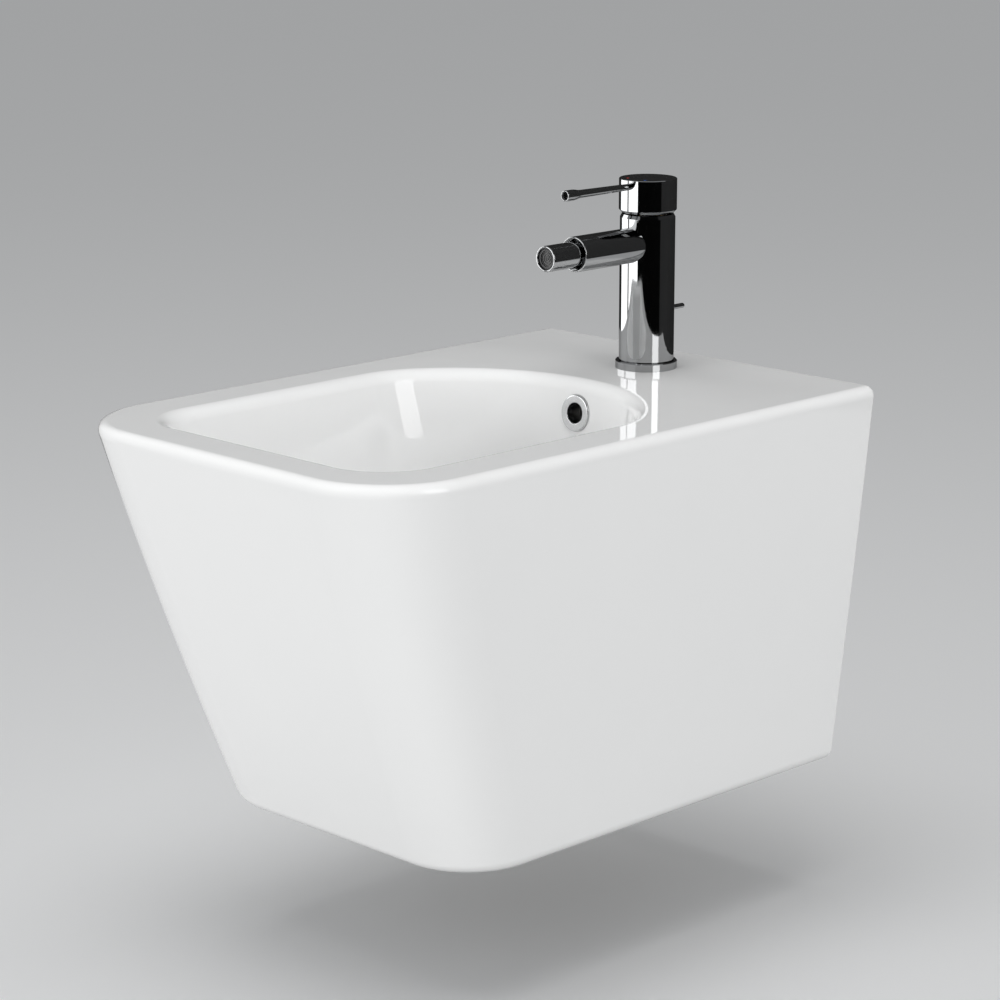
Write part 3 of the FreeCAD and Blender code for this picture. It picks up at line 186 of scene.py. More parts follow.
def china_skin():
    """Closed skin of the casting: sides, deck, bowl and foot, before it is hollowed."""
    bm = bmesh.new()
    levels = [rim_z - skin_height * step / skin_steps for step in range(skin_steps + 1)]
    ends = [draw_skin(bm, z) for z in levels]
    mouth = draw_bowl(bm, rim_z)
    draw_bowl(bm, floor_z)
    for skin_end, mouth_end in zip(ends[0], mouth):
        bmesh.ops.contextual_create(bm, geom=[skin_end, mouth_end])
    bmesh.ops.edgeloop_fill(bm, edges=ring_at(bm, rim_z))
    mirror_across(bm)

    def in_mouth(edge):
        places = [vert.co for vert in edge.verts]
        across = all(abs(place.x) < bowl_half + mm for place in places)
        front, rear = front_rim - projection, -bowl_from_wall
        return across and all(front - mm < place.y < rear + mm for place in places)

    open_rim = [edge for edge in ring_at(bm, rim_z) if len(edge.link_faces) == 1]
    mouth_ring = [edge for edge in open_rim if in_mouth(edge)]
    rim_ring = [edge for edge in open_rim if not in_mouth(edge)]
    floor_ring = ring_at(bm, floor_z)
    bmesh.ops.bridge_loops(bm, edges=mouth_ring + floor_ring)
    bmesh.ops.edgeloop_fill(bm, edges=floor_ring)
    bmesh.ops.bridge_loops(bm, edges=rim_ring + ring_at(bm, levels[1]))
    stack(bm, levels[1:])
    foot_ring = ring_at(bm, foot_z)
    bmesh.ops.edgeloop_fill(bm, edges=foot_ring)
    bmesh.ops.recalc_face_normals(bm, faces=bm.faces)

    def off_wall(edge):
        return any(vert.co.y < -mm for vert in edge.verts)

    soften(bm, [edge for edge in mouth_ring if edge.is_valid], mouth_round, segments=10)
    soften(bm, [edge for edge in floor_ring if edge.is_valid], floor_round, segments=14)
    soften(bm, [edge for edge in rim_ring if edge.is_valid and off_wall(edge)], rim_round, segments=8)
    soften(bm, [edge for edge in foot_ring if edge.is_valid and off_wall(edge)], foot_round, segments=6)
    wall_edges = [edge for edge in bm.edges if not off_wall(edge) and edge.calc_face_angle(0) > wall_fold]
    soften(bm, wall_edges, wall_round, segments=3, by="OFFSET")
    return as_object(bm, "china_body")


def cut(piece, tool, lining=0):
    """Takes a tool's shape out of a piece, lined with one of the piece's finishes, and drops the tool."""
    for finish_of_piece in piece.data.materials:
        tool.data.materials.append(finish_of_piece)
    for polygon in tool.data.polygons:
        polygon.material_index = lining
    carve = piece.modifiers.new("cut", "BOOLEAN")
    carve.operation = "DIFFERENCE"
    carve.solver = "EXACT"
    carve.object = tool
    with bpy.context.temp_override(object=piece, active_object=piece):
        bpy.ops.object.modifier_apply(modifier=carve.name)
    bpy.data.objects.remove(tool)


def box_tool(low, high, corner=0.0):
    """Block between two corners, with its upright edges rounded."""
    bm = bmesh.new()
    middle, size = (Vector(low) + Vector(high)) / 2, Vector(high) - Vector(low)
    bmesh.ops.create_cube(bm, size=1, matrix=Matrix.Translation(middle) @ Matrix.Diagonal((*size, 1)))
    if corner:
        upright = [edge for edge in bm.edges if abs(edge.verts[0].co.z - edge.verts[1].co.z) > mm]
        soften(bm, upright, corner, segments=8, by="OFFSET")
    return as_object(bm, "tool")


def revolve(bm, at, axis=(0, 0, 1), steps=128):
    """Turns an outline, with x as its radius and y along the axis, into a solid at a place."""
    bmesh.ops.spin(
        bm,
        geom=bm.verts[:] + bm.edges[:],
        cent=(0, 0, 0),
        axis=(0, 1, 0),
        angle=2 * math.pi,
        steps=steps,
        use_merge=True,
    )
    bmesh.ops.remove_doubles(bm, verts=bm.verts, dist=same_point)
    lean = Vector((0, 1, 0)).rotation_difference(Vector(axis)).to_matrix().to_4x4()
    bmesh.ops.transform(bm, matrix=Matrix.Translation(at) @ lean, verts=bm.verts)
    bmesh.ops.recalc_face_normals(bm, faces=bm.faces)


def round_tool(radius, low, high, at, axis=(0, 0, 1)):
    """Pin between two distances along an axis through a place."""
    bm = bmesh.new()
    end = begin(bm, 0, low)
    end = straight(bm, end, radius, low)
    end = straight(bm, end, radius, high)
    straight(bm, end, 0, high)
    revolve(bm, at, axis, steps=96)
    return as_object(bm, "tool")


past = 6 * mm  # how far a tool runs past the face that it cuts
china_wall = 10 * mm
deck_thick = 12 * mm
hollow_steps = 6
under_round = 57 * mm
waste_y = -245 * mm
boss_r = 37 * mm
boss_z = floor_z - 36 * mm
duct_half = 13 * mm
duct_depth = 14 * mm
duct_wall = 8 * mm
duct_front = china_wall - bowl_from_wall
duct_rear = duct_front + duct_depth
duct_foot = boss_z + duct_wall
casing_front = -160 * mm
casing_half = duct_half + duct_wall
casing_rear = duct_rear + duct_wall
casing_top = duct_foot + duct_depth + duct_wall
fixing_x = 90 * mm
lug_width = 56 * mm
lug_height = 48 * mm
lug_depth = 20 * mm


def china_hollow():
    """The hollow that the slip leaves behind the skin, open at the wall."""
    deck_under, foot_top = rim_z - deck_thick, foot_z + china_wall
    drop = foot_top - deck_under
    levels = [deck_under + drop * step / hollow_steps for step in range(hollow_steps + 1)]
    bm = bmesh.new()
    for z in levels:
        draw_skin(bm, z, china_wall, past)
    mirror_across(bm)
    stack(bm, levels)
    for z in (deck_under, foot_top):
        bmesh.ops.edgeloop_fill(bm, edges=ring_at(bm, z))
    hollow = as_object(bm, "hollow")

    bm = bmesh.new()
    levels = [rim_z, floor_z - china_wall]
    for z in levels:
        draw_bowl(bm, z, china_wall)
    mirror_across(bm)
    stack(bm, levels)
    top_ring, under_ring = [ring_at(bm, z) for z in levels]
    for ring in (top_ring, under_ring):
        bmesh.ops.edgeloop_fill(bm, edges=ring)
    bmesh.ops.recalc_face_normals(bm, faces=bm.faces)
    soften(bm, under_ring, under_round, segments=14)
    cut(hollow, as_object(bm, "tool"))

    cut(hollow, round_tool(boss_r, boss_z, floor_z, (0, waste_y, 0)))
    cut(hollow, box_tool((-casing_half, casing_front, boss_z), (casing_half, casing_rear, rim_z)))
    cut(hollow, box_tool((-casing_half, waste_y, boss_z), (casing_half, casing_rear, casing_top)))
    for side in (-1, 1):
        low, high = sorted((side * (fixing_x - lug_width / 2), side * half_width))
        cut(hollow, box_tool((low, -lug_depth, -lug_height / 2), (high, 2 * past, lug_height / 2)))
    return hollow


waste_bore_r = 23 * mm
waste_funnel_r = 27.3 * mm
waste_seat_r = 31.8 * mm
waste_dish_r = 52 * mm
waste_funnel_z = floor_z - 14.5 * mm
waste_seat_z = floor_z - 6.5 * mm
waste_dish_z = floor_z - 4 * mm


def waste_tool():
    """Hole of the waste: bore, funnel and seat of the flange, and a dish that runs out flat."""
    rise, run = floor_z - waste_dish_z, waste_dish_r - waste_seat_r
    arch_r = (run**2 + rise**2) / (2 * rise)
    arch_turn = 2 * math.atan2(rise, run)
    under_boss = boss_z - 2 * past
    bm = bmesh.new()
    end = begin(bm, 0, under_boss)
    end = straight(bm, end, waste_bore_r, under_boss)
    end = straight(bm, end, waste_bore_r, waste_funnel_z)
    end = straight(bm, end, waste_funnel_r, waste_seat_z)
    end = straight(bm, end, waste_seat_r, waste_seat_z)
    end = straight(bm, end, waste_seat_r, waste_dish_z)
    end = bend(bm, end, (waste_dish_r, floor_z - arch_r), -arch_turn, steps=12)
    end = straight(bm, end, waste_dish_r, floor_z + past)
    straight(bm, end, 0, floor_z + past)
    revolve(bm, (0, waste_y, 0), steps=96)
    return as_object(bm, "tool")


def smooth_finish(piece):
    """Closes the seams that cuts leave, then shades smoothly, with breaks at real edges."""
    seam = 0.02 * mm
    real_edge = math.radians(28)
    bm = bmesh.new()
    bm.from_mesh(piece.data)
    bmesh.ops.remove_doubles(bm, verts=bm.verts, dist=seam)
    bmesh.ops.dissolve_degenerate(bm, dist=seam, edges=bm.edges)
    bmesh.ops.holes_fill(bm, edges=bm.edges, sides=4)
    bmesh.ops.recalc_face_normals(bm, faces=bm.faces)
    for face in bm.faces:
        face.smooth = True
    for edge in bm.edges:
        edge.smooth = edge.calc_face_angle(0) < real_edge
    bm.to_mesh(piece.data)
    bm.free()
    weighted = piece.modifiers.new("even shading", "WEIGHTED_NORMAL")
    weighted.keep_sharp = True
    return piece


def finish(name, colour, roughness, metallic=0.0):
    """New material, its shader, and the object's own coordinates for patterns."""
    material = bpy.data.materials.new(name)
    material.use_nodes = True
    nodes = material.node_tree.nodes
    shader = nodes["Principled BSDF"]
    shader.inputs["Base Color"].default_value = (*colour, 1)
    shader.inputs["Roughness"].default_value = roughness
    shader.inputs["Metallic"].default_value = metallic
    return material, shader, nodes.new("ShaderNodeTexCoord").outputs["Object"]


def cloud(material, where, patches, detail=3.0):
    """Noise of a number of patches a metre."""
    noise = material.node_tree.nodes.new("ShaderNodeTexNoise")
    noise.inputs["Scale"].default_value = patches
    noise.inputs["Detail"].default_value = detail
    material.node_tree.links.new(where, noise.inputs["Vector"])
    return noise.outputs["Fac"]


def vary_tone(material, shader, pattern, dark, light):
    """Lets the base colour wander between two tones."""
    mix = material.node_tree.nodes.new("ShaderNodeMix")
    mix.data_type = "RGBA"
    mix.inputs["A"].default_value = (*dark, 1)
    mix.inputs["B"].default_value = (*light, 1)
    links = material.node_tree.links
    links.new(pattern, mix.inputs["Factor"])
    links.new(mix.outputs["Result"], shader.inputs["Base Color"])


def vary_gloss(material, shader, pattern, smooth, dull):
    """Lets the roughness wander between two values, over the range that noise mostly fills."""
    noise_low, noise_high = 0.3, 0.7
    span = material.node_tree.nodes.new("ShaderNodeMapRange")
    span.inputs["From Min"].default_value = noise_low
    span.inputs["From Max"].default_value = noise_high
    span.inputs["To Min"].default_value = smooth
    span.inputs["To Max"].default_value = dull
    links = material.node_tree.links
    links.new(pattern, span.inputs["Value"])
    links.new(span.outputs["Result"], shader.inputs["Roughness"])


def emboss(material, shader, pattern, height):
    """Raises a pattern on the surface."""
    bump = material.node_tree.nodes.new("ShaderNodeBump")
    bump.inputs["Distance"].default_value = height
    bump.inputs["Strength"].default_value = 1.0
    links = material.node_tree.links
    links.new(pattern, bump.inputs["Height"])
    links.new(bump.outputs["Normal"], shader.inputs["Normal"])


china_body = china_skin()
white_glaze, shader, where = finish("white_glaze", (0.87, 0.87, 0.865), roughness=0.03)
shader.inputs["IOR"].default_value = 1.52
vary_tone(white_glaze, shader, cloud(white_glaze, where, 9), (0.86, 0.862, 0.858), (0.885, 0.885, 0.88))
vary_gloss(white_glaze, shader, cloud(white_glaze, where, 30), 0.02, 0.045)
emboss(white_glaze, shader, cloud(white_glaze, where, 22, detail=1.0), 0.12 * mm)
bare_china, shader, where = finish("bare_china", (0.7, 0.685, 0.65), roughness=0.75)
vary_tone(bare_china, shader, cloud(bare_china, where, 40), (0.66, 0.645, 0.61), (0.735, 0.72, 0.69))
emboss(bare_china, shader, cloud(bare_china, where, 1500), 0.05 * mm)
# Painted shade: the inside of the overflow duct and of the hole into it is dark grey, standing in for the
# shade deep in the duct rather than the colour of the china there.
painted_shade_duct, shader, where = finish("painted_shade_duct", (0.2, 0.195, 0.185), roughness=0.85)
vary_tone(painted_shade_duct, shader, cloud(painted_shade_duct, where, 120), (0.17, 0.165, 0.155), (0.23, 0.225, 0.215))
for china in (white_glaze, bare_china, painted_shade_duct):
    china_body.data.materials.append(china)
glazed, bare, shaded_duct = range(3)

cut(china_body, china_hollow(), bare)

opening_half = 95 * mm
opening_front = -300 * mm
opening_rear = -24 * mm
opening_corner = 25 * mm
opening_low = (-opening_half, opening_front, foot_z - past)
opening_high = (opening_half, opening_rear, foot_z + 2 * china_wall)
cut(china_body, box_tool(opening_low, opening_high, opening_corner), bare)

duct_top = 88.6 * mm
# Painted shade: the duct's walls are lined with the dark grey that stands in for the shade inside it.
cut(china_body, box_tool((-duct_half, duct_front, duct_foot), (duct_half, duct_rear, duct_top)), shaded_duct)
duct_run_top = duct_foot + duct_depth
cut(china_body, box_tool((-duct_half, waste_y, duct_foot), (duct_half, duct_rear, duct_run_top)), shaded_duct)

tap_y = -69.2 * mm
tap_hole_r = 17.5 * mm
tap_hole_low = rim_z - deck_thick - past
cut(china_body, round_tool(tap_hole_r, tap_hole_low, rim_z + past, (0, tap_y, 0)), bare)

cut(china_body, waste_tool(), glazed)

overflow_drop = 26 * mm
overflow_sink = 1 * mm
overflow_seat_r = 14.9 * mm
overflow_hole_r = 10.1 * mm
overflow_hole_depth = 13 * mm
overflow_lean = math.atan2(bowl_rear_draw, bowl_depth)
overflow_axis = Vector((0, -math.cos(overflow_lean), math.sin(overflow_lean)))
overflow_y = -bowl_from_wall - bowl_rear_draw * overflow_drop / bowl_depth
overflow_at = Vector((0, overflow_y, rim_z - overflow_drop)) - overflow_axis * overflow_sink
cut(china_body, round_tool(overflow_seat_r, 0, past, overflow_at, overflow_axis), glazed)
# Painted shade: the overflow hole through the bowl's wall is lined with the same dark grey for the shade
# behind the rosette.
cut(china_body, round_tool(overflow_hole_r, -overflow_hole_depth, past, overflow_at, overflow_axis), shaded_duct)

fixing_hole_r = 9 * mm
for side in (-1, 1):
    fixing_at = (side * fixing_x, 0, 0)
    cut(china_body, round_tool(fixing_hole_r, -2 * lug_depth, 2 * lug_depth, fixing_at, (0, 1, 0)), bare)
smooth_finish(china_body)
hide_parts("ceramic_deck", "ceramic_bowl_front", "ceramic_bowl_left", "ceramic_bowl_right")
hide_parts("ceramic_bowl_rear", "ceramic_basin", "ceramic_skirt", "ceramic_foot")
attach(china_body, "base")

# Overflow rosette: brass, turned with rounded edges and satin-chromed. The tube behind its face plugs
# into the hole in the bowl's rear wall.
rosette_play = 0.3 * mm
rosette_r = overflow_seat_r - rosette_play
rosette_tube_r = overflow_hole_r - rosette_play
rosette_bore_r = 8.2 * mm
rosette_face = 3.2 * mm
rosette_edge = 1.3 * mm
rosette_lip = 0.65 * mm
tube_length = 12 * mm

drawing = bmesh.new()
end = begin(drawing, rosette_bore_r, -tube_length)
end = straight(drawing, end, rosette_tube_r, -tube_length)
end = straight(drawing, end, rosette_tube_r, 0)
end = straight(drawing, end, rosette_r, 0)
end = straight(drawing, end, rosette_r, rosette_face - rosette_edge)
end = bend(drawing, end, (rosette_r - rosette_edge, rosette_face - rosette_edge), quarter, steps=8)
end = straight(drawing, end, rosette_bore_r + rosette_lip, rosette_face)
end = bend(drawing, end, (rosette_bore_r + rosette_lip, rosette_face - rosette_lip), quarter, steps=6)
straight(drawing, end, rosette_bore_r, -tube_length)
revolve(drawing, overflow_at, overflow_axis)
rosette = smooth_finish(as_object(drawing, "overflow_rosette"))
satin_chrome, shader, where = finish("satin_chrome", (0.66, 0.665, 0.67), roughness=0.2, metallic=1.0)
vary_tone(satin_chrome, shader, cloud(satin_chrome, where, 200), (0.64, 0.645, 0.65), (0.68, 0.685, 0.69))
vary_gloss(satin_chrome, shader, cloud(satin_chrome, where, 900), 0.16, 0.26)
rosette.data.materials.append(satin_chrome)
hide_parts("overflow_ring")
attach(rosette, "base")

# Wall-fixing bushes: pale nylon, injection-moulded with a collar. They are pushed into the holes of the
# two lugs and keep the wall studs off the china.
pale_nylon, shader, where = finish("pale_nylon", (0.75, 0.75, 0.73), roughness=0.5)
vary_tone(pale_nylon, shader, cloud(pale_nylon, where, 160), (0.7, 0.7, 0.68), (0.79, 0.79, 0.77))
vary_gloss(pale_nylon, shader, cloud(pale_nylon, where, 700), 0.42, 0.6)
emboss(pale_nylon, shader, cloud(pale_nylon, where, 1800), 0.02 * mm)


def dress(material, *nodes):
    """Gives solids their finish."""
    for node in nodes:
        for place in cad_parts[node].material_slots:
            place.material = material


dress(pale_nylon, "fixing_bushes")

# Waste: chromed brass flange and plug in the bowl's floor, bare brass body and nuts below it, black
# rubber seals between metal and china, and a steel rod on nylon cups that lifts the plug.
polished_chrome, shader, where = finish("polished_chrome", (0.45, 0.455, 0.46), roughness=0.04, metallic=1.0)
shader.inputs["Specular Tint"].default_value = (0.65, 0.65, 0.65, 1)
plating = cloud(polished_chrome, where, 60)
vary_tone(polished_chrome, shader, plating, (0.435, 0.44, 0.445), (0.465, 0.47, 0.475))
vary_gloss(polished_chrome, shader, cloud(polished_chrome, where, 140), 0.025, 0.055)
dress(polished_chrome, "waste_flange", "waste_plug")


def fine_lines(material, where, pitch):
    """Level lines of a pitch, as a tool leaves them. The wave turns 20 radians in each unit of length."""
    wave_turn = 20
    wave = material.node_tree.nodes.new("ShaderNodeTexWave")
    wave.bands_direction = "Z"
    wave.inputs["Scale"].default_value = math.tau / (wave_turn * pitch)
    wave.inputs["Distortion"].default_value = 0.6
    material.node_tree.links.new(where, wave.inputs["Vector"])
    return wave.outputs["Fac"]


turned_brass, shader, where = finish("turned_brass", (0.72, 0.56, 0.3), roughness=0.28, metallic=1.0)
vary_tone(turned_brass, shader, cloud(turned_brass, where, 180), (0.66, 0.5, 0.26), (0.77, 0.61, 0.34))
vary_gloss(turned_brass, shader, cloud(turned_brass, where, 1300), 0.2, 0.4)
emboss(turned_brass, shader, fine_lines(turned_brass, where, 0.5 * mm), 0.01 * mm)
dress(turned_brass, "waste_nut", "waste_body", "pivot_nut")

black_rubber, shader, where = finish("black_rubber", (0.03, 0.03, 0.03), roughness=0.7)
vary_tone(black_rubber, shader, cloud(black_rubber, where, 300), (0.02, 0.02, 0.02), (0.042, 0.042, 0.041))
vary_gloss(black_rubber, shader, cloud(black_rubber, where, 1200), 0.6, 0.8)
emboss(black_rubber, shader, cloud(black_rubber, where, 2500), 0.02 * mm)
dress(black_rubber, "waste_seal", "waste_gasket", "plug_seal")

bright_steel, shader, where = finish("bright_steel", (0.58, 0.58, 0.58), roughness=0.25, metallic=1.0)
vary_tone(bright_steel, shader, cloud(bright_steel, where, 250), (0.53, 0.53, 0.535), (0.63, 0.63, 0.63))
vary_gloss(bright_steel, shader, cloud(bright_steel, where, 1500), 0.18, 0.36)
dress(bright_steel, "pivot_rod")
dress(pale_nylon, "pivot_seats")

# Mixer foot: a polished chrome ring on the deck, turned from brass, over a rubber seal in a groove
# of its underside.
dress(polished_chrome, "base_ring")
dress(black_rubber, "base_seal")

# Mixer body: brass bar, turned, bored for the cartridge and the ways of the water, polished and plated
# with bright chrome. It stands on the foot ring.
dress(polished_chrome, "tap_body")

# Fastening under the deck: a threaded steel stud in the body pulls a steel horseshoe and its rubber
# gasket up against the china with a brass nut.
threaded_steel, shader, where = finish("threaded_steel", (0.55, 0.55, 0.55), roughness=0.3, metallic=1.0)
vary_tone(threaded_steel, shader, cloud(threaded_steel, where, 250), (0.5, 0.5, 0.505), (0.6, 0.6, 0.6))
vary_gloss(threaded_steel, shader, cloud(threaded_steel, where, 1500), 0.22, 0.4)
emboss(threaded_steel, shader, fine_lines(threaded_steel, where, 1.25 * mm), 0.3 * mm)
dress(threaded_steel, "mounting_stud")
dress(bright_steel, "horseshoe_plate")
dress(black_rubber, "horseshoe_gasket")
dress(turned_brass, "mounting_nut")

# Cartridge: grey acetal housing, turret and carrier, moulded, round two lapped alumina discs that slide
# on each other and meter the water. A steel stem on a pin moves them, a brass nut holds them down.
grey_acetal, shader, where = finish("grey_acetal", (0.2, 0.21, 0.22), roughness=0.45)
vary_tone(grey_acetal, shader, cloud(grey_acetal, where, 200), (0.18, 0.19, 0.2), (0.225, 0.235, 0.245))
vary_gloss(grey_acetal, shader, cloud(grey_acetal, where, 900), 0.38, 0.55)
dress(grey_acetal, "cartridge_housing", "cartridge_turret", "disc_carrier")
lapped_alumina, shader, where = finish("lapped_alumina", (0.88, 0.86, 0.82), roughness=0.16)
fired = cloud(lapped_alumina, where, 350)
vary_tone(lapped_alumina, shader, fired, (0.85, 0.83, 0.79), (0.9, 0.885, 0.85))
vary_gloss(lapped_alumina, shader, cloud(lapped_alumina, where, 900), 0.12, 0.22)
dress(lapped_alumina, "fixed_disc", "moving_disc")
dress(black_rubber, "inlet_seals", "cartridge_o_ring")
dress(bright_steel, "stem_pin", "cartridge_stem")
dress(turned_brass, "cartridge_nut")

# Handle: a turned and chromed brass cap over the cartridge, with a pin lever screwed into its side, and
# drops of red and blue enamel cured in two small holes in its top.
dress(polished_chrome, "handle_cap")
lever_z = rim_z + 147.3 * mm
lever_reach = 95.2 * mm
lever_inner = 4 * mm
lever_seat = 23.1 * mm
lever_spigot_r = 2.3 * mm
lever_root_r = 2.6 * mm
lever_neck_r = 3.2 * mm
lever_tip_r = 4.3 * mm
lever_tip_length = 7.5 * mm
lever_lip = 0.44 * mm
lever_recess_r = 3.4 * mm
lever_recess = 0.8 * mm
flare_end = lever_reach - lever_tip_length
flare_length = 10.5 * mm
flare_start = flare_end - flare_length
flare_rise = lever_tip_r - lever_neck_r
flare_r = (flare_length**2 + flare_rise**2) / (4 * flare_rise)
flare_turn = 2 * math.atan2(flare_rise, flare_length)


def rounded_lip(bm, end, outer, inner, reach, rounding, steps=8):
    """Carries an outline over a mouth's lip, round its outer edge and then its inner one."""
    end = straight(bm, end, outer, reach - rounding)
    end = bend(bm, end, (outer - rounding, reach - rounding), quarter, steps)
    end = straight(bm, end, inner + rounding, reach)
    return bend(bm, end, (inner + rounding, reach - rounding), quarter, steps)


drawing = bmesh.new()
end = begin(drawing, 0, lever_inner)
end = straight(drawing, end, lever_spigot_r, lever_inner)
end = straight(drawing, end, lever_spigot_r, lever_seat)
end = straight(drawing, end, lever_root_r, lever_seat)
end = straight(drawing, end, lever_neck_r, flare_start)
end = bend(drawing, end, (lever_neck_r + flare_r, flare_start), -flare_turn, steps=6)
end = bend(drawing, end, (lever_tip_r - flare_r, flare_end), flare_turn, steps=6)
end = rounded_lip(drawing, end, lever_tip_r, lever_recess_r, lever_reach, lever_lip)
end = straight(drawing, end, lever_recess_r, lever_reach - lever_recess)
straight(drawing, end, 0, lever_reach - lever_recess)
revolve(drawing, (0, tap_y, lever_z), (0, -1, 0), steps=96)
lever_pin = smooth_finish(as_object(drawing, "lever_pin"))
lever_pin.data.materials.append(polished_chrome)
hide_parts("lever_rod")
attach(lever_pin, "handle")

red_enamel, shader, where = finish("red_enamel", (0.85, 0.05, 0.04), roughness=0.15)
vary_tone(red_enamel, shader, cloud(red_enamel, where, 2500), (0.8, 0.04, 0.03), (0.88, 0.06, 0.05))
dress(red_enamel, "hot_mark")
blue_enamel, shader, where = finish("blue_enamel", (0.06, 0.2, 0.75), roughness=0.15)
vary_tone(blue_enamel, shader, cloud(blue_enamel, where, 2500), (0.05, 0.18, 0.7), (0.07, 0.22, 0.8))
dress(blue_enamel, "cold_mark")

# Spout: brass tube with a rounded lip, brazed to the front of the body, polished and chromed with it.
# A nylon seat with a rubber ring and a threaded collar in its mouth hold the nozzle's ball.
spout_z = rim_z + 100.6 * mm
spout_at = (0, tap_y, spout_z)
spout_axis = (0, -1, 0)
spout_r = 13.95 * mm
spout_bore_r = 11 * mm
spout_mouth_r = 12.6 * mm
spout_lip = 0.62 * mm
spout_reach = 85 * mm
mouth_floor = 64.1 * mm
saddle_r = 22.05 * mm
saddle_half = 1.5 * spout_r

drawing = bmesh.new()
end = begin(drawing, spout_bore_r, 0)
end = straight(drawing, end, spout_r, 0)
end = rounded_lip(drawing, end, spout_r, spout_mouth_r, spout_reach, spout_lip)
end = straight(drawing, end, spout_mouth_r, mouth_floor)
end = straight(drawing, end, spout_bore_r, mouth_floor)
straight(drawing, end, spout_bore_r, 0)
revolve(drawing, spout_at, spout_axis)
spout_tube = as_object(drawing, "spout_tube")
spout_tube.data.materials.append(polished_chrome)
cut(spout_tube, round_tool(saddle_r, -saddle_half, saddle_half, spout_at))
smooth_finish(spout_tube)
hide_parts("spout")
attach(spout_tube, "base")
dress(pale_nylon, "nozzle_seat")
dress(black_rubber, "nozzle_seal")
dress(polished_chrome, "nozzle_collar")

# Nozzle: a brass ball and tube turned in one, with a rounded lip, bored, polished and chromed. It turns
# and tilts in the spout.
ball_r = 11.5 * mm
ball_at = 78 * mm
ball_back = 69.5 * mm
nozzle_r = 10.2 * mm
nozzle_bore_r = 6.6 * mm
nozzle_reach = 116.6 * mm
nozzle_lip = 0.75 * mm
pocket_r = 8.62 * mm
pocket_floor = 103.6 * mm
ball_first = math.asin((ball_back - ball_at) / ball_r)
ball_last = math.acos(nozzle_r / ball_r)

drawing = bmesh.new()
end = begin(drawing, nozzle_bore_r, ball_back)
end = straight(drawing, end, ball_r * math.cos(ball_first), ball_back)
end = bend(drawing, end, (0, ball_at), ball_last - ball_first, steps=16)
end = rounded_lip(drawing, end, nozzle_r, pocket_r, nozzle_reach, nozzle_lip)
end = straight(drawing, end, pocket_r, pocket_floor)
end = straight(drawing, end, nozzle_bore_r, pocket_floor)
straight(drawing, end, nozzle_bore_r, ball_back)
revolve(drawing, spout_at, spout_axis)
nozzle_tube = smooth_finish(as_object(drawing, "nozzle_tube"))
nozzle_tube.data.materials.append(polished_chrome)
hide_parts("nozzle")
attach(nozzle_tube, "outlet")

# Aerator: black plastic housing with a raised ring round its bore and a dark grey screen of concentric
# rings, both moulded, dropped into the end of the nozzle on a rubber gasket.
insert_r = 8.6 * mm
insert_bore_r = 6.2 * mm
insert_ring_r = 7.7 * mm
insert_back = 104.8 * mm
insert_front = 115.2 * mm
insert_step = insert_front - 0.7 * mm
insert_edge = 0.25 * mm

drawing = bmesh.new()
end = begin(drawing, insert_bore_r, insert_back)
end = straight(drawing, end, insert_r, insert_back)
end = straight(drawing, end, insert_r, insert_step)
end = straight(drawing, end, insert_ring_r, insert_step)
end = rounded_lip(drawing, end, insert_ring_r, insert_bore_r, insert_front, insert_edge, steps=4)
straight(drawing, end, insert_bore_r, insert_back)
revolve(drawing, spout_at, spout_axis, steps=96)
insert = smooth_finish(as_object(drawing, "aerator_insert"))
black_plastic, shader, where = finish("black_plastic", (0.02, 0.02, 0.021), roughness=0.32)
grain = cloud(black_plastic, where, 700)
vary_tone(black_plastic, shader, grain, (0.016, 0.016, 0.017), (0.025, 0.025, 0.026))
vary_gloss(black_plastic, shader, cloud(black_plastic, where, 1500), 0.26, 0.4)
insert.data.materials.append(black_plastic)
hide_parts("aerator_housing")
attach(insert, "outlet")
dark_screen_plastic, shader, where = finish("dark_screen_plastic", (0.045, 0.045, 0.046), roughness=0.4)
grain = cloud(dark_screen_plastic, where, 700)
vary_tone(dark_screen_plastic, shader, grain, (0.038, 0.038, 0.038), (0.052, 0.052, 0.052))
vary_gloss(dark_screen_plastic, shader, cloud(dark_screen_plastic, where, 1500), 0.32, 0.5)
dress(dark_screen_plastic, "aerator_screen")
dress(black_rubber, "aerator_gasket")

# Lift rod: drawn steel rod through the body and the deck, with a chromed pin as its knob behind the
# mixer and a brass coupling and screw that grip it to the waste's rod below.
dress(bright_steel, "lift_rod", "coupling_screw")
dress(polished_chrome, "lift_knob")
dress(turned_brass, "rod_coupling")

# Studio: a matt pale floor under the body, strips of light and dark screens that only mirrors see, for
# the white and black bands in the chrome, and large soft fills that mirrors don't see. Two of the strips
# leave out the china, and every lamp but the one above leaves out the floor.
floor_level = -323.8 * mm
floor_reach = 30
floor_lift = 0.09
floor_at = Matrix.Translation((0, 0, floor_level))
floor_mesh = bmesh.new()
bmesh.ops.create_grid(floor_mesh, x_segments=1, y_segments=1, size=floor_reach, matrix=floor_at)
floor = as_object(floor_mesh, "studio_floor")
floor_paint, shader, where = finish("floor_paint", (0.78, 0.783, 0.785), roughness=0.8)
shader.inputs["Specular IOR Level"].default_value = 0
rolled = cloud(floor_paint, where, 0.5)
vary_tone(floor_paint, shader, rolled, (0.77, 0.773, 0.775), (0.79, 0.793, 0.795))
shader.inputs["Emission Color"].default_value = (1, 1, 1, 1)
ray = floor_paint.node_tree.nodes.new("ShaderNodeLightPath")
glimmer = shader.inputs["Emission Strength"]
for kind in ("Is Camera Ray", "Is Glossy Ray", "Is Transmission Ray"):
    share = floor_paint.node_tree.nodes.new("ShaderNodeMath")
    share.operation = "MULTIPLY_ADD"
    share.inputs[1].default_value = floor_lift
    share.inputs[2].default_value = 0
    floor_paint.node_tree.links.new(ray.outputs[kind], share.inputs[0])
    floor_paint.node_tree.links.new(share.outputs["Value"], glimmer)
    glimmer = share.inputs[2]
floor.data.materials.append(floor_paint)

screen_r = 1.35
screen_top = 2.0


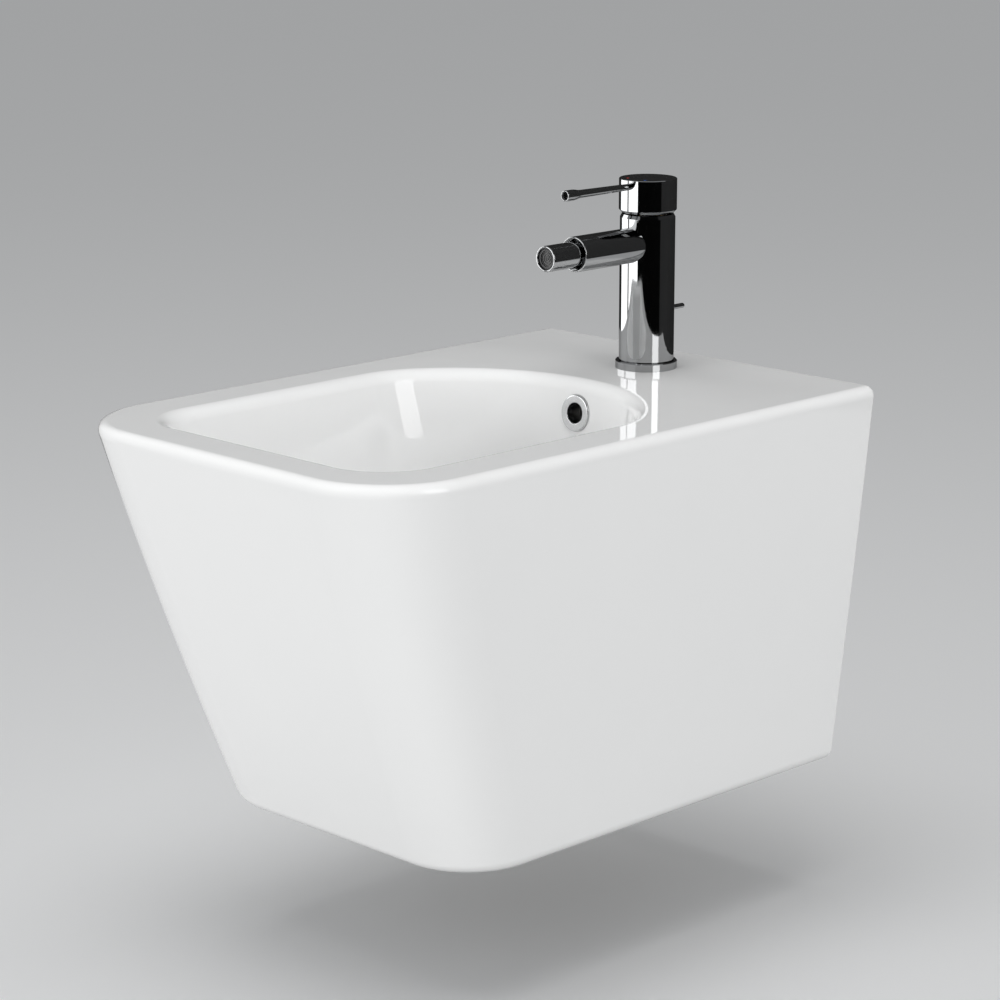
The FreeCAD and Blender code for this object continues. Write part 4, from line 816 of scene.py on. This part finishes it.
def dark_screen(name, first, last, tone):
    """Curved screen round the mixer between two bearings, seen by mirrors alone."""
    bm = bmesh.new()
    middle = (0, tap_y, 0)
    turn = Matrix.Rotation(math.radians(first), 3, "Z")
    low = begin(bm, *(turn @ Vector((screen_r, 0, floor_level))))
    high = begin(bm, *(turn @ Vector((screen_r, 0, screen_top))))
    bmesh.ops.translate(bm, vec=middle, verts=bm.verts)
    edge = bmesh.ops.contextual_create(bm, geom=[low, high])["edges"]
    sweep = math.radians(last - first)
    bmesh.ops.spin(bm, geom=[low, high, *edge], cent=middle, axis=(0, 0, 1), angle=sweep, steps=24)
    screen = as_object(bm, name)
    cloth, shader, where = finish(name, (tone, tone, tone), roughness=0.9)
    shader.inputs["Specular IOR Level"].default_value = 0
    vary_tone(cloth, shader, cloud(cloth, where, 2), (0.9 * tone,) * 3, (1.1 * tone,) * 3)
    screen.data.materials.append(cloth)
    screen.visible_camera = False
    screen.visible_diffuse = False
    screen.visible_shadow = False
    screen.visible_transmission = False


dark_screen("black_screen", first=-88, last=7, tone=0.004)
dark_screen("grey_screen", first=7, last=180, tone=0.045)
dark_screen("gap_screen", first=-136, last=-129.5, tone=0.01)


def spare(name, *left_alone):
    """Collection for a lamp that lights all but the given objects."""
    spared = bpy.data.collections.new(name)
    for left in left_alone:
        spared.objects.link(left)
    for linked in spared.collection_objects:
        linked.light_linking.link_state = "EXCLUDE"
    return spared


floor_spared = spare("floor_spared", floor)
china_spared = spare("china_spared", floor, china_body)


def soft_box(name, place, aim, width, height, watts, spared=None, for_mirrors=False):
    """Area light that faces a point: either for mirrors alone or for all but them."""
    light = bpy.data.lights.new(name, "AREA")
    light.shape = "RECTANGLE"
    light.size = width
    light.size_y = height
    light.energy = watts
    lamp = bpy.data.objects.new(name, light)
    lamp.location = place
    lamp.rotation_euler = (Vector(place) - Vector(aim)).to_track_quat("Z", "Y").to_euler()
    lamp.visible_camera = False
    lamp.visible_glossy = for_mirrors
    lamp.visible_diffuse = not for_mirrors
    lamp.light_linking.receiver_collection = spared
    bpy.context.scene.collection.objects.link(lamp)


def beside_mixer(bearing, distance, height):
    """Place at a bearing and distance from the mixer."""
    level = math.radians(bearing)
    return (math.cos(level) * distance, tap_y + math.sin(level) * distance, height)


right_strip_z = 0.72
soft_box(
    "right_strip",
    beside_mixer(bearing=-9, distance=1.3, height=right_strip_z),
    aim=(0, tap_y, right_strip_z),
    width=0.62,
    height=1.0,
    watts=6.5,
    spared=floor_spared,
    for_mirrors=True,
)
wide_strip_z = 0.36
for name, bearing in (("front_strip", -109), ("left_strip", -158)):
    soft_box(
        name,
        beside_mixer(bearing, distance=1.5, height=wide_strip_z),
        aim=(0, tap_y, wide_strip_z),
        width=1.25,
        height=1.3,
        watts=12,
        spared=china_spared,
        for_mirrors=True,
    )
fills = (
    ("left_fill", 178, 0.7, 2.0, 36),
    ("front_fill", -98, 0.2, 1.0, 40),
    ("right_fill", -5, 0.9, 2.0, 41),
)
for name, bearing, middle_z, tall, watts in fills:
    fill_at = beside_mixer(bearing, distance=3.0, height=middle_z)
    soft_box(name, fill_at, aim=(0, -0.25, 0), width=2.0, height=tall, watts=watts, spared=floor_spared)
soft_box("top_fill", (0.2, -0.7, 2.6), aim=(0, -0.35, 0), width=2.0, height=2.0, watts=32)

sky = bpy.data.worlds.new("studio_sky")
sky.use_nodes = True
sky_light = sky.node_tree.nodes["Background"]
sky_light.inputs["Color"].default_value = (0.97, 0.985, 1.0, 1)
sky_light.inputs["Strength"].default_value = 0.35
bpy.context.scene.world = sky

eye_down = math.radians(13.761)
eye_turn = math.radians(45.162)
eye = bpy.data.cameras.new("photo_eye")
eye.lens = 110.508
eye.sensor_width = 36.0
camera = bpy.data.objects.new("photo_eye", eye)
camera.location = (1.6361, -1.8617, 0.5831)
camera.rotation_euler = (quarter - eye_down, 0, eye_turn)
bpy.context.scene.collection.objects.link(camera)
bpy.context.scene.camera = camera
bpy.context.scene.view_settings.view_transform = "Standard"
